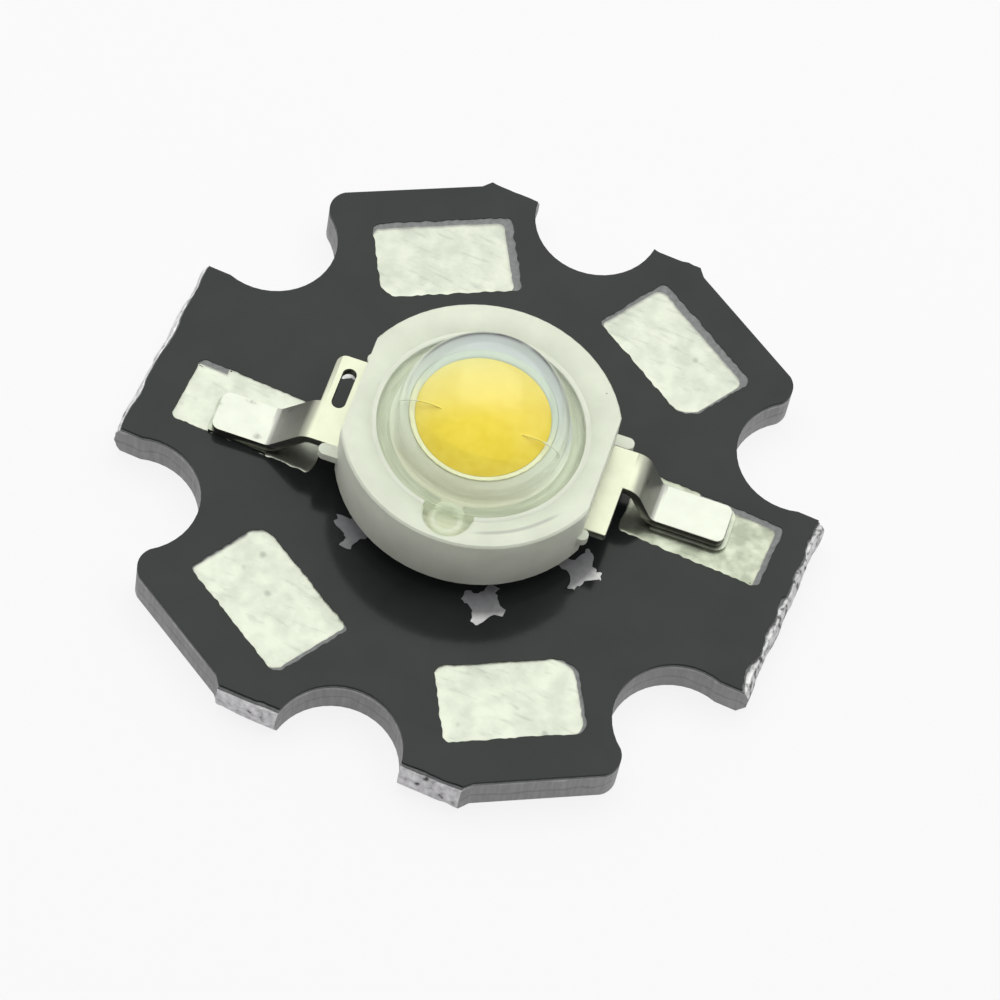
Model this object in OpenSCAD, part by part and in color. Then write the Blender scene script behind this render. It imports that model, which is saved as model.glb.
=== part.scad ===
// Power LED emitter soldered on a six-lobed star board with an aluminium core.
// Origin: centre of the screw circle on the underside of the board. +Z is up.

/* [Star outline] */
// Distance between the break faces of the two side lobes
cell_length = 20; // [19:0.1:22]
// Distance between the break faces of the upper and lower lobes
cell_width = 19.6; // [19:0.1:22]
// Offset of the break faces from the screw circle along Y
cell_shift = 0.1; // [-0.3:0.05:0.3]
// Distance from the centre to the punched edge of an angled lobe
lobe_apothem = 9.95; // [9.5:0.05:11]
// Diameter of a screw notch
notch_d = 3.8; // [3:0.1:4.2]
// Diameter of the circle through the centres of the notches
notch_circle_d = 19.6; // [19:0.1:21]
// Radius between a notch and the punched edge of an angled lobe
lobe_corner_r = 0.65; // [0.2:0.05:1]
// Width of a side lobe at its break face
side_lobe_w = 6.2; // [5:0.1:6.4]
// Extra width left at a break face where the web tore
tear_w = 0.3; // [0:0.05:0.5]

/* [Board layers] */
// Thickness of the aluminium core
base_t = 1.1; // [0.8:0.1:2]
// Thickness of the insulating laminate
dielectric_t = 0.1; // [0.05:0.01:0.2]
// Thickness of the copper foil
copper_t = 0.07; // [0.035:0.005:0.15]
// Thickness of the solder mask over the copper
mask_t = 0.03; // [0.01:0.005:0.06]
// Thickness of the tin coat on a pad
tin_t = 0.025; // [0.01:0.005:0.05]
// Depth of the V-score from each face
score_depth = 0.42; // [0.2:0.01:0.5]
// Set-back of the faces at the V-score
score_inset = 0.2; // [0.05:0.01:0.4]

/* [Foil and mask] */
// Length of a wire pad, across its lobe
wire_pad_l = 4; // [3:0.1:5]
// Width of a wire pad, along its lobe
wire_pad_w = 2.4; // [1.5:0.1:3]
// Distance from the centre to the middle of a wire pad
wire_pad_r = 7.4; // [7:0.1:7.8]
// Width of the foil neck between the foil ring and a wire pad
pad_neck_w = 2; // [1:0.1:2.6]
// Outer end of a lead pad
lead_pad_end = 8.75; // [8:0.05:9]
// Inner end of a lead pad
lead_pad_start = 4.4; // [4.3:0.05:5]
// Width of a lead pad
lead_pad_w = 2.12; // [1.6:0.02:2.2]
// Distance of a lead pad's near side from the middle line
lead_pad_side = 0.08; // [0.05:0.01:0.2]
// Outer radius of the foil ring that joins the pads
foil_ring_r = 6.7; // [6.5:0.05:7.4]
// Radius of the round foil land under the emitter
land_r = 3.2; // [3:0.05:3.5]
// Gap between foil areas
foil_gap = 0.4; // [0.2:0.05:0.6]
// Outer end of the wide trace beside a lead pad
trace_end = 7.75; // [7:0.05:8]
// Corner radius of a pad and of its mask opening
pad_corner_r = 0.2; // [0.1:0.05:0.4]
// Growth of a mask opening over its pad, each side
mask_margin = 0.04; // [0:0.01:0.1]
// Offset of the mask from the foil along X
mask_shift_x = 0.13; // [-0.2:0.01:0.2]
// Offset of the mask from the foil along Y
mask_shift_y = 0.15; // [-0.2:0.01:0.2]

/* [Housing] */
// Angle of the emitter on the board
emitter_turn = 5; // [-10:0.5:10]
// Diameter of the housing
housing_d = 8.14; // [7.8:0.02:8.4]
// Height of the housing
housing_h = 2.2; // [2:0.05:2.6]
// Height of the housing's underside above the board
standoff = 0.65; // [0.4:0.05:0.9]
// Distance across the two flats of the housing
flats_w = 7.4; // [7.2:0.05:7.6]
// Chamfer of the housing's outer edges
edge_c = 0.06; // [0.02:0.01:0.12]
// Radius of the recess for the lens
recess_r = 3.15; // [3.1:0.05:3.3]
// Depth of the recess for the lens
recess_depth = 0.4; // [0.3:0.05:0.5]
// Width of the bevel around the recess
bevel_w = 0.4; // [0.1:0.05:0.5]
// Depth of the bevel around the recess
bevel_h = 0.12; // [0.05:0.01:0.2]
// Radius of the cavity below the lens
cavity_r = 2.6; // [2.4:0.05:2.7]
// Radius of the fill port in the rim
port_r = 0.7; // [0.4:0.05:0.75]
// Radius of the filling channel
channel_r = 0.33; // [0.2:0.01:0.4]
// Depth of the filling channel below the lens seat
channel_depth = 0.2; // [0.1:0.05:0.3]
// Length of the ear at one end of a flat
ear_l = 0.55; // [0.3:0.05:0.7]
// Length of the ear at the other end of a flat
ear_short_l = 0.2; // [0.1:0.05:0.5]
// Width of an ear
ear_w = 0.38; // [0.2:0.02:0.5]

/* [Leads] */
// Thickness of the lead sheet
lead_t = 0.3; // [0.2:0.01:0.4]
// Height of the top of a lead above the board where it leaves the housing
lead_top = 1.62; // [1.4:0.02:1.8]
// Height of the top of a foot above the board
foot_top = 0.42; // [0.36:0.01:0.6]
// Width of a lead at the housing
tab_w = 3; // [2.4:0.1:3.2]
// Reach of the anode lead's wide part from the axis
anode_tab_reach = 4.35; // [4.2:0.05:4.8]
// Reach of the cathode lead's wide part from the axis
cathode_tab_reach = 4.7; // [4.6:0.05:4.9]
// Corner radius at the free end of the anode lead's wide part
anode_corner_r = 0.06; // [0.02:0.01:0.2]
// Corner radius at the free end of the cathode lead's wide part
cathode_corner_r = 0.28; // [0.1:0.02:0.4]
// Distance of a foot's near side from the middle line
foot_side = 0.2; // [0:0.05:0.5]
// Reach of a foot from the axis
foot_reach = 7.55; // [7:0.05:8]
// Corner radius at the end of a foot
foot_corner_r = 0.25; // [0.1:0.05:0.5]
// Distance from the axis to the start of the anode lead's bend
anode_bend_start = 4.45; // [4.4:0.05:4.9]
// Angle of the anode lead's bend
anode_bend_angle = 64; // [45:1:80]
// Distance from the axis to the start of the cathode lead's bend
cathode_bend_start = 4.55; // [4.4:0.05:4.9]
// Angle of the cathode lead's bend
cathode_bend_angle = 50; // [45:1:80]
// Inside radius of the lead's bends
bend_r = 0.25; // [0.15:0.01:0.35]
// Inner end of a lead, inside the cavity
lead_inner = 1.75; // [1.7:0.05:2]
// Length of the slot in the cathode lead
slot_l = 1.4; // [1:0.05:1.6]
// Width of the slot in the cathode lead
slot_w = 0.42; // [0.2:0.02:0.5]
// Middle of the slot, across the lead
slot_side = 0.42; // [0.2:0.02:0.6]
// Reach of the solder around a foot
solder_spread = 0.12; // [0.05:0.01:0.2]

/* [Emitter core] */
// Radius of the slug's base
slug_base_r = 2.8; // [2.4:0.05:3]
// Depth of the slug's base inside the housing
slug_seat = 0.35; // [0.2:0.05:0.5]
// Thickness of the solder under the slug
slug_solder_t = 0.06; // [0.04:0.01:0.1]
// Height of the cup's rim above the board
cup_top = 2.87; // [2.8:0.01:3.1]
// Radius of the cup at its rim
cup_r = 1.32; // [1.2:0.02:1.4]
// Radius of the cup at its floor
cup_floor_r = 1.05; // [0.9:0.02:1.1]
// Depth of the cup
cup_depth = 0.4; // [0.3:0.05:0.6]
// Width of the cup's rim
cup_rim = 0.14; // [0.1:0.01:0.2]
// Drop of the white fill's edge below the cup's rim
fill_drop = 0.05; // [0.02:0.01:0.15]
// Height of the phosphor's crown above the rim
phosphor_crown = 0.28; // [0.1:0.02:0.4]
// Side of the square die
die_w = 1; // [0.8:0.05:1.1]
// Thickness of the die
die_t = 0.15; // [0.1:0.01:0.2]
// Thickness of the film under the die
attach_t = 0.02; // [0.01:0.01:0.04]
// Diameter of a bond wire
wire_d = 0.03; // [0.02:0.005:0.06]
// Height of a bond wire's arch above the cup's rim
wire_lift = 0.07; // [0.06:0.01:0.14]
// Distance of a bond from the middle of the die
bond_offset = 0.3; // [0.2:0.02:0.36]
// Radius of a bond
bond_r = 0.075; // [0.05:0.005:0.09]
// Height of a bond
bond_h = 0.1; // [0.08:0.01:0.14]
// Radius of the dome
dome_r = 2.48; // [2.4:0.02:2.6]
// Height of the dome's centre above the board
dome_centre = 3.16; // [3.1:0.02:3.3]
// Wall of the dome
dome_wall = 0.34; // [0.3:0.01:0.36]
// Thickness of the lens flange
flange_t = 0.3; // [0.2:0.05:0.35]
// Clearance around the lens flange
lens_clearance = 0.1; // [0.05:0.01:0.15]

/* [Hidden] */
$fn = 96;

// Overrun of a cutting shape past the face it cuts
over = 1;
// Side of a cutting shape that covers the whole board
wide = 60;
// Depth by which a lobe's corner round crosses the notch and the edge beside it
corner_bite = 0.01;

// Heights of the board's layers
dielectric_z = base_t;
copper_z = dielectric_z + dielectric_t;
tin_z = copper_z + copper_t;
board_t = tin_z + mask_t;

// Heights and radii of the emitter
housing_z = board_t + standoff;
housing_top = housing_z + housing_h;
seat_z = housing_top - recess_depth;
lead_top_z = board_t + lead_top;
lead_z = lead_top_z - lead_t;
foot_z = board_t + foot_top - lead_t;
slug_z = tin_z + slug_solder_t;
bend_mid_r = bend_r + lead_t / 2;
slug_base_top = housing_z + slug_seat;
cup_top_z = board_t + cup_top;
cup_floor_z = cup_top_z - cup_depth;
pedestal_r = cup_r + cup_rim;
fill_top_z = cup_top_z - fill_drop;
dome_z = board_t + dome_centre;
dome_in_r = dome_r - dome_wall;
flange_r = recess_r - lens_clearance;
die_z = cup_floor_z + attach_t;
die_top = die_z + die_t;

// Places on the star
notch_circle_r = notch_circle_d / 2;
notch_r = notch_d / 2;
notch_x = notch_circle_r * cos(30);
notch_y = notch_circle_r * sin(30);

// Half length of an angled lobe's straight edge at a given height y above the middle line
function lobe_edge_x(y) = (lobe_apothem - y * sin(60)) / cos(60);

// Centre of the circle through three points of a plane
function circle_centre(a, b, c) =
    let (d = 2 * (a.x * (b.y - c.y) + b.x * (c.y - a.y) + c.x * (a.y - b.y)))
    [
        (a * a * (b.y - c.y) + b * b * (c.y - a.y) + c * c * (a.y - b.y)) / d,
        (a * a * (c.x - b.x) + b * b * (a.x - c.x) + c * c * (b.x - a.x)) / d
    ];

// Length of the straight slope between the bends of a lead, and the heel where its foot starts
function bend_slope_l(angle) = (lead_z - foot_z - 2 * bend_mid_r * (1 - cos(angle))) / sin(angle);
function heel_x(start, angle) =
    start + 2 * bend_mid_r * sin(angle) + bend_slope_l(angle) * cos(angle);

// Rectangle from its lower left corner, with round corners
module round_rect(size, r) {
    translate([r, 0]) square([size.x - 2 * r, size.y]);
    translate([0, r]) square([size.x, size.y - 2 * r]);
    for (x = [r, size.x - r], y = [r, size.y - r]) translate([x, y]) circle(r);
}

// Corner between a notch and the punched edge of its lobe, in the lobe's own direction
module lobe_corner_cut() {
    u = lobe_apothem - lobe_corner_r + corner_bite;
    reach = notch_r + lobe_corner_r - corner_bite;
    v = notch_y - sqrt(reach * reach - (u - notch_x) * (u - notch_x));
    share = (notch_r - corner_bite / 2) / reach;
    touch = [notch_x + (u - notch_x) * share, notch_y + (v - notch_y) * share];
    difference() {
        polygon([[u, v], [lobe_apothem + over, v], [lobe_apothem + over, notch_y], touch]);
        translate([u, v]) circle(lobe_corner_r);
    }
}

// Edge points where the web tore at a break face, from the outside in: side 1 is above, -1 below
function tear_points(side) =
    let (
        face_y = cell_width / 2 + side * cell_shift - score_inset,
        root_y = face_y - tear_w,
        tear_x = lobe_edge_x(face_y) + tear_w
    )
    [[tear_x, side * (face_y + over)], [tear_x, side * face_y], [lobe_edge_x(root_y), side * root_y]];

// Outline that the punch leaves, still open at the break faces
module star_plan() {
    above = tear_points(1);
    right = concat(tear_points(-1), [[lobe_edge_x(0), 0], above[2], above[1], above[0]]);
    left = [for (i = [len(right) - 1:-1:0]) [-right[i].x, right[i].y]];
    difference() {
        polygon(concat(right, left));
        for (k = [0:5]) rotate(30 + 60 * k) translate([notch_circle_r, 0]) circle(notch_r);
        for (sx = [-1, 1], sy = [-1, 1]) {
            scale([sx, sy]) {
                polygon([
                    [notch_x, side_lobe_w / 2], [wide, side_lobe_w / 2], [wide, wide * tan(30)],
                    [notch_x, notch_y]
                ]);
                rotate(60) mirror([0, 1]) lobe_corner_cut();
            }
        }
    }
}

// Bar with the V-scored edge on both long sides
module scored_bar(width) {
    half = width / 2;
    profile = [
        [half - score_inset, 0], [half, score_depth],
        [half, board_t - score_depth], [half - score_inset, board_t]
    ];
    mirrored = [for (i = [3:-1:0]) [-profile[i].x, profile[i].y]];
    rotate([90, 0, 0]) translate([0, 0, -wide / 2]) linear_extrude(wide) {
        polygon(concat(profile, mirrored));
    }
}

// One layer of the board, from its underside and thickness
module board_layer(z, t) {
    intersection() {
        translate([0, 0, z]) linear_extrude(t) star_plan();
        scored_bar(cell_length);
        translate([0, cell_shift, 0]) rotate(90) scored_bar(cell_width);
    }
}

// Wire pad in the direction of its lobe, grown by a margin
module wire_pad_plan(angle, margin = 0) {
    size = [wire_pad_w + 2 * margin, wire_pad_l + 2 * margin];
    rotate(angle) translate([wire_pad_r - size.x / 2, -size.y / 2]) round_rect(size, pad_corner_r);
}

// Pad of the lead on the +X side, grown by a margin
module lead_pad_plan(margin = 0) {
    size = [lead_pad_end - lead_pad_start + 2 * margin, lead_pad_w + 2 * margin];
    translate([lead_pad_start - margin, lead_pad_side - margin]) round_rect(size, pad_corner_r);
}

// Foil that joins the +X lead pad to the two lower wire pads
module foil_plan() {
    ring_in = land_r + foil_gap;
    intersection() {
        difference() {
            circle(foil_ring_r);
            circle(ring_in);
        }
        rotate(30) translate([-wide / 2, -wide - foil_gap / 2]) square(wide);
    }
    lead_pad_plan();
    trace = [trace_end - lead_pad_start, lead_pad_w / 2 + lead_pad_side + 2 * pad_corner_r];
    translate([lead_pad_start, -lead_pad_w / 2]) round_rect(trace, pad_corner_r);
    for (angle = [240, 300]) {
        wire_pad_plan(angle);
        rotate(angle) translate([ring_in, -pad_neck_w / 2]) square([wire_pad_r - ring_in, pad_neck_w]);
    }
}

// Mask opening over a lead pad: side 0 is the anode, 180 the cathode
module lead_opening(side) {
    translate([mask_shift_x, mask_shift_y]) rotate(side) lead_pad_plan(mask_margin);
}

// Mask opening over a wire pad
module wire_opening(angle) {
    translate([mask_shift_x, mask_shift_y]) wire_pad_plan(angle, mask_margin);
}

// Round mask opening under the emitter
module land_opening() {
    circle(land_r - foil_gap / 2);
}

module aluminium_base() {
    color("#a4a5a8") board_layer(0, base_t);
}

module dielectric_layer() {
    color("#7c7f80") board_layer(dielectric_z, dielectric_t);
}

module anode_copper() {
    color("#b87348") translate([0, 0, copper_z]) linear_extrude(copper_t) foil_plan();
}

module cathode_copper() {
    color("#b87348") rotate(180) translate([0, 0, copper_z]) linear_extrude(copper_t) foil_plan();
}

module thermal_land() {
    color("#b87348") translate([0, 0, copper_z]) linear_extrude(copper_t) circle(land_r);
}

module solder_mask() {
    color("#2b2e2d") difference() {
        board_layer(copper_z, board_t - copper_z);
        anode_copper();
        cathode_copper();
        thermal_land();
        translate([0, 0, copper_z - over]) linear_extrude(board_t) {
            for (side = [0, 180]) lead_opening(side);
            for (angle = [60, 120, 240, 300]) wire_opening(angle);
            land_opening();
        }
    }
}

// Tin coat where a mask opening leaves the foil bare: side 0 is the anode's foil
module tin_coat(side) {
    color("#dfe3d6") translate([0, 0, tin_z]) linear_extrude(tin_t) intersection() {
        rotate(side) foil_plan();
        children();
    }
}

module tin_upper_left() {
    tin_coat(180) wire_opening(120);
}

module tin_upper_right() {
    tin_coat(180) wire_opening(60);
}

module tin_lower_left() {
    tin_coat(0) wire_opening(240);
}

module tin_lower_right() {
    tin_coat(0) wire_opening(300);
}

module tin_anode_pad() {
    tin_coat(0) lead_opening(0);
}

module tin_cathode_pad() {
    tin_coat(180) lead_opening(180);
}

// Narrow part of a lead from a given start to the end of the foot, grown by a margin
module foot_plan(start, margin = 0) {
    size = [foot_reach - start + margin, tab_w / 2 - foot_side + 2 * margin];
    translate([start, foot_side - margin]) {
        round_rect(size, foot_corner_r + margin);
        square([size.x / 2, size.y]);
    }
}

// Side view of the bent sheet: flat at the housing, two bends, flat on the pad
module lead_profile(start, angle) {
    normal = [sin(angle), cos(angle)];
    outer_r = bend_r + lead_t;
    upper = [start, lead_z - bend_r];
    lower = [heel_x(start, angle), foot_z + outer_r];
    left = lead_inner - over;
    right = foot_reach + over;
    low = foot_z - over;
    high = lead_top_z + over;
    difference() {
        translate([lead_inner, foot_z]) square([foot_reach - lead_inner, lead_top_z - foot_z]);
        difference() {
            polygon([
                [upper.x, high], upper, upper + outer_r * normal, lower - bend_r * normal, lower,
                [lower.x, foot_z + lead_t], [right, foot_z + lead_t], [right, high]
            ]);
            translate(upper) circle(outer_r);
        }
        translate(lower) circle(bend_r);
        difference() {
            polygon([
                [lower.x, low], lower, lower - outer_r * normal, upper + bend_r * normal, upper,
                [upper.x, lead_z], [left, lead_z], [left, low]
            ]);
            translate(lower) circle(outer_r);
        }
        translate(upper) circle(bend_r);
    }
}

// Lead on the +X side of the emitter, from above
module lead_plan(tab_reach, corner_r) {
    reach = tab_reach - lead_inner;
    translate([lead_inner, -tab_w / 2]) {
        square([reach - corner_r, tab_w]);
        translate([0, corner_r]) square([reach, tab_w - corner_r]);
        translate([reach - corner_r, corner_r]) circle(corner_r);
    }
    foot_plan(lead_inner);
}

// Lead on the +X side of the emitter, in the emitter's own direction
module lead(tab_reach, corner_r, start, angle) {
    intersection() {
        rotate([90, 0, 0]) translate([0, 0, -tab_w]) linear_extrude(2 * tab_w) lead_profile(start, angle);
        linear_extrude(housing_top) lead_plan(tab_reach, corner_r);
    }
}

module anode_lead() {
    color("#d9d8cc") rotate(emitter_turn) {
        lead(anode_tab_reach, anode_corner_r, anode_bend_start, anode_bend_angle);
    }
}

module cathode_lead() {
    slot_x = (flats_w / 2 + cathode_tab_reach) / 2;
    slot_end = (slot_l - slot_w) / 2;
    color("#d9d8cc") rotate(emitter_turn + 180) difference() {
        lead(cathode_tab_reach, cathode_corner_r, cathode_bend_start, cathode_bend_angle);
        translate([slot_x, -slot_side, lead_z - over]) linear_extrude(lead_t + 2 * over) {
            for (y = [-slot_end, slot_end]) translate([0, y]) circle(slot_w / 2);
            square([slot_w, 2 * slot_end], center = true);
        }
    }
}

// Solder between a foot, from its heel, and its tinned pad: side 0 is the anode
module foot_solder(side, heel) {
    joint_z = tin_z + tin_t;
    color("#e4e6de") translate([0, 0, joint_z]) linear_extrude(foot_z - joint_z) intersection() {
        rotate(emitter_turn + side) foot_plan(heel - solder_spread, solder_spread);
        lead_opening(side);
        rotate(side) foil_plan();
    }
}

module anode_solder() {
    foot_solder(0, heel_x(anode_bend_start, anode_bend_angle));
}

module cathode_solder() {
    foot_solder(180, heel_x(cathode_bend_start, cathode_bend_angle));
}

module slug_solder() {
    color("#c9ccc8") translate([0, 0, tin_z]) linear_extrude(slug_solder_t) circle(slug_base_r);
}

module heat_slug() {
    color("#cfcfc8") rotate_extrude() polygon([
        [0, slug_z], [slug_base_r, slug_z], [slug_base_r, slug_base_top], [pedestal_r, slug_base_top],
        [pedestal_r, cup_top_z], [cup_r, cup_top_z], [cup_floor_r, cup_floor_z], [0, cup_floor_z]
    ]);
}

// Half of the housing's section, turned around the axis
module housing_section() {
    r = housing_d / 2;
    polygon([
        [pedestal_r, slug_base_top], [slug_base_r, slug_base_top], [slug_base_r, housing_z],
        [r - edge_c, housing_z], [r, housing_z + edge_c], [r, housing_top - edge_c],
        [r - edge_c, housing_top], [recess_r + bevel_w, housing_top], [recess_r, housing_top - bevel_h],
        [recess_r, seat_z], [cavity_r, seat_z], [cavity_r, lead_top_z], [pedestal_r, lead_top_z]
    ]);
}

// Ear beside a lead, with a round end
module ear(length) {
    reach = flats_w / 2 + length;
    root = flats_w / 2 - over;
    translate([0, tab_w / 2, lead_z]) linear_extrude(lead_t) {
        translate([root, 0]) square([reach - ear_w / 2 - root, ear_w]);
        translate([reach - ear_w / 2, ear_w / 2]) circle(ear_w / 2);
    }
}

// Channel and port through which the cavity was filled, in the emitter's own direction
module filling_channel(height) {
    translate([0, -recess_r, seat_z - channel_depth]) {
        cylinder(r = channel_r, h = height);
        translate([-channel_r, 0, 0]) {
            cube([2 * channel_r, recess_r - cavity_r + channel_r, channel_depth]);
        }
    }
}

module housing() {
    color("#dde2d6") rotate(emitter_turn) difference() {
        union() {
            intersection() {
                rotate_extrude() housing_section();
                translate([0, 0, housing_z]) linear_extrude(housing_h) {
                    square([flats_w, wide], center = true);
                }
            }
            for (sx = [-1, 1], sy = [-1, 1]) scale([sx, sy, 1]) ear(sx == sy ? ear_l : ear_short_l);
        }
        translate([0, 0, lead_z]) linear_extrude(lead_t) {
            for (side = [0, 180]) rotate(side) translate([lead_inner, -tab_w / 2]) square([wide, tab_w]);
        }
        filling_channel(channel_depth + over);
        translate([0, -recess_r, seat_z]) cylinder(r = port_r, h = recess_depth + over);
    }
}

module die_attach() {
    color("#9a9a92") rotate(emitter_turn) translate([0, 0, cup_floor_z]) linear_extrude(attach_t) {
        square(die_w, center = true);
    }
}

module led_die() {
    color("#5c6b86") rotate(emitter_turn) translate([0, 0, die_z]) linear_extrude(die_t) {
        square(die_w, center = true);
    }
}

// Bond wire from the die over the cup's rim to the lead on the +X side
module bond_wire() {
    start = [bond_offset, die_top + bond_h / 2];
    finish = [lead_inner + 2 * bond_r, lead_top_z + bond_h / 2];
    crest = [pedestal_r + wire_lift, cup_top_z + wire_lift];
    c = circle_centre(start, crest, finish);
    from = atan2(finish.y - c.y, finish.x - c.x);
    to = atan2(start.y - c.y, start.x - c.x);
    translate([c.x, 0, c.y]) rotate([90, 0, 0]) rotate(from) rotate_extrude(angle = to - from) {
        translate([norm(start - c), 0]) circle(wire_d / 2, $fn = 16);
    }
    translate([start.x, 0, die_top]) cylinder(r = bond_r, h = bond_h, $fn = 24);
    translate([finish.x, 0, lead_top_z]) cylinder(r = bond_r, h = bond_h, $fn = 24);
}

module anode_wire() {
    color("#d8b45a") rotate(emitter_turn) bond_wire();
}

module cathode_wire() {
    color("#d8b45a") rotate(emitter_turn + 180) bond_wire();
}

// Crown of the phosphor above the cup's rim
module phosphor_cap() {
    cap_r = (cup_r * cup_r + phosphor_crown * phosphor_crown) / (2 * phosphor_crown);
    intersection() {
        translate([0, 0, cup_top_z + phosphor_crown - cap_r]) sphere(cap_r);
        translate([0, 0, cup_top_z]) cylinder(r = cup_r, h = 2 * phosphor_crown);
    }
}

module phosphor() {
    color("#e8d34c") difference() {
        union() {
            translate([0, 0, cup_floor_z]) cylinder(r1 = cup_floor_r, r2 = cup_r, h = cup_depth);
            phosphor_cap();
        }
        die_attach();
        led_die();
        anode_wire();
        cathode_wire();
    }
}

// White silicone in the cavity and its channel, sloping from the cup's rim down to the lens seat
module cavity_fill() {
    color("#d3d9c8") difference() {
        union() {
            rotate_extrude() polygon([
                [pedestal_r, lead_top_z], [cavity_r, lead_top_z], [cavity_r, seat_z], [dome_in_r, seat_z],
                [pedestal_r, fill_top_z]
            ]);
            rotate(emitter_turn) filling_channel(channel_depth);
        }
        anode_wire();
        cathode_wire();
    }
}

// Clear gel under the dome, on the white fill, the cup's rim and the phosphor
module gel_fill() {
    color("#e6eadf", 0.4) difference() {
        union() {
            translate([0, 0, dome_z]) sphere(dome_in_r);
            translate([0, 0, seat_z]) cylinder(r = dome_in_r, h = dome_z - seat_z);
        }
        rotate_extrude() polygon([
            [0, 0], [wide, 0], [wide, seat_z], [dome_in_r, seat_z], [pedestal_r, fill_top_z],
            [pedestal_r, cup_top_z], [0, cup_top_z]
        ]);
        phosphor_cap();
        anode_wire();
        cathode_wire();
    }
}

module lens() {
    color("#dfe8e6", 0.35) difference() {
        union() {
            translate([0, 0, dome_z]) sphere(dome_r);
            translate([0, 0, seat_z]) cylinder(r = dome_r, h = dome_z - seat_z);
            translate([0, 0, seat_z]) cylinder(r = flange_r, h = flange_t);
        }
        cylinder(r = wide, h = seat_z);
        translate([0, 0, dome_z]) sphere(dome_in_r);
        translate([0, 0, seat_z - over]) cylinder(r = dome_in_r, h = dome_z - seat_z + over);
    }
}

aluminium_base();
dielectric_layer();
anode_copper();
cathode_copper();
thermal_land();
solder_mask();
tin_upper_left();
tin_upper_right();
tin_lower_left();
tin_lower_right();
tin_anode_pad();
tin_cathode_pad();
anode_solder();
cathode_solder();
slug_solder();
heat_slug();
housing();
anode_lead();
cathode_lead();
die_attach();
led_die();
anode_wire();
cathode_wire();
cavity_fill();
phosphor();
gel_fill();
lens();
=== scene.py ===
"""Dresses the solids of a star board power LED: looks, stage, light and camera."""

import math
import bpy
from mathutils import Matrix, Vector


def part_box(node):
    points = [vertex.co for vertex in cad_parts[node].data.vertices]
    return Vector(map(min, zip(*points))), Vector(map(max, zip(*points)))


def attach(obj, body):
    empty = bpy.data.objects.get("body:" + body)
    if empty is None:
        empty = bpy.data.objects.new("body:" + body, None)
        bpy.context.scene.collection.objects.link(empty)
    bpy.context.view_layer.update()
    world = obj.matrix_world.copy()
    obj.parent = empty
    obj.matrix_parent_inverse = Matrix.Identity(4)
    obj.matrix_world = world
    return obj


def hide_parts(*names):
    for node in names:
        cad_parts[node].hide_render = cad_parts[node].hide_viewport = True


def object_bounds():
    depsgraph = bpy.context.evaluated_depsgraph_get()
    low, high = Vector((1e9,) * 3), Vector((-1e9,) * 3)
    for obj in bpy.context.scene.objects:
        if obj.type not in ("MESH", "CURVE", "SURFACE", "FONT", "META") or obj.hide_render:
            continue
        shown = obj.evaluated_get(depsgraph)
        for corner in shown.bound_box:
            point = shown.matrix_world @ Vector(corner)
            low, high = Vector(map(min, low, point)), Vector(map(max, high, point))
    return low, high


bl_info = {
    "name": "Star Board Power LED",
    "version": (1, 0, 0),
    "blender": (4, 5, 0),
    "location": "View3D > Sidebar > Star LED",
    "description": "Finished pieces, materials and stage for a power LED on a star board",
    "category": "Object",
}

import bmesh
import bpy
from bpy.props import FloatProperty, FloatVectorProperty, IntProperty, PointerProperty
from mathutils import Matrix, Vector, noise

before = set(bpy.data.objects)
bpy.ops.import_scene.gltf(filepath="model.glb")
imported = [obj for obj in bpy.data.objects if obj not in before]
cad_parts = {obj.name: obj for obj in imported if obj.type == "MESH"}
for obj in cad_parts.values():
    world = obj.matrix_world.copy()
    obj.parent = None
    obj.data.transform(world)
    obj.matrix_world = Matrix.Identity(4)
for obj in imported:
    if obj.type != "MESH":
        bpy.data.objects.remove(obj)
CAD_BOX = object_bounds()
# Without a seed, the noise vectors would start from the time of the run
noise.seed_set(5)

MM = 0.001
BODY = "root"
UP = Vector((0, 0, 1))
# Vertices of a CAD copy closer than this are one, faces flatter than this are joined, and edges
# sharper than this are sharp
WELD = 0.0002 * MM
FLAT = math.radians(0.4)
SHARP = math.radians(32)
# Upright share of the normal of a face that lies level, of one that is quite flat and of one that is
# dead flat
LEVEL = 0.9
QUITE_FLAT = 0.99
DEAD_FLAT = 0.999

# Heights and radii of the solids, in millimetres like all sizes below
LAMINATE_Z = 1.1
FOIL_Z = 1.2
BARE_Z = 1.274
TIN_Z = 1.276
BOARD_Z = 1.3
SEAT_Z = 3.75
SEAT_R = 3.15
FLANGE_R = 3.05
FLANGE_TOP = 4.05
DOME_R = 2.48
DOME_Z = 4.46
PEDESTAL_R = 1.46
CUP_R = 1.32
CUP_TOP = 4.17
CUP_FLOOR = 3.77
CUP_FLOOR_R = 1.05
CROWN = 0.28
FILL_TOP = 4.12
DOME_IN_R = 2.14
PORT_R = 0.33
NOTCH_RING = 9.8
NOTCH_WALL = 1.96
# Room left when a height or a radius is compared
SLACK = 0.02
# Rounding of the slug, and width of the gel's lip inside the wall of the port
SLUG_ROUND = 0.03
LIP = 0.06
# Turn of the filling port around the axis
TURN = math.radians(5)

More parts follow.
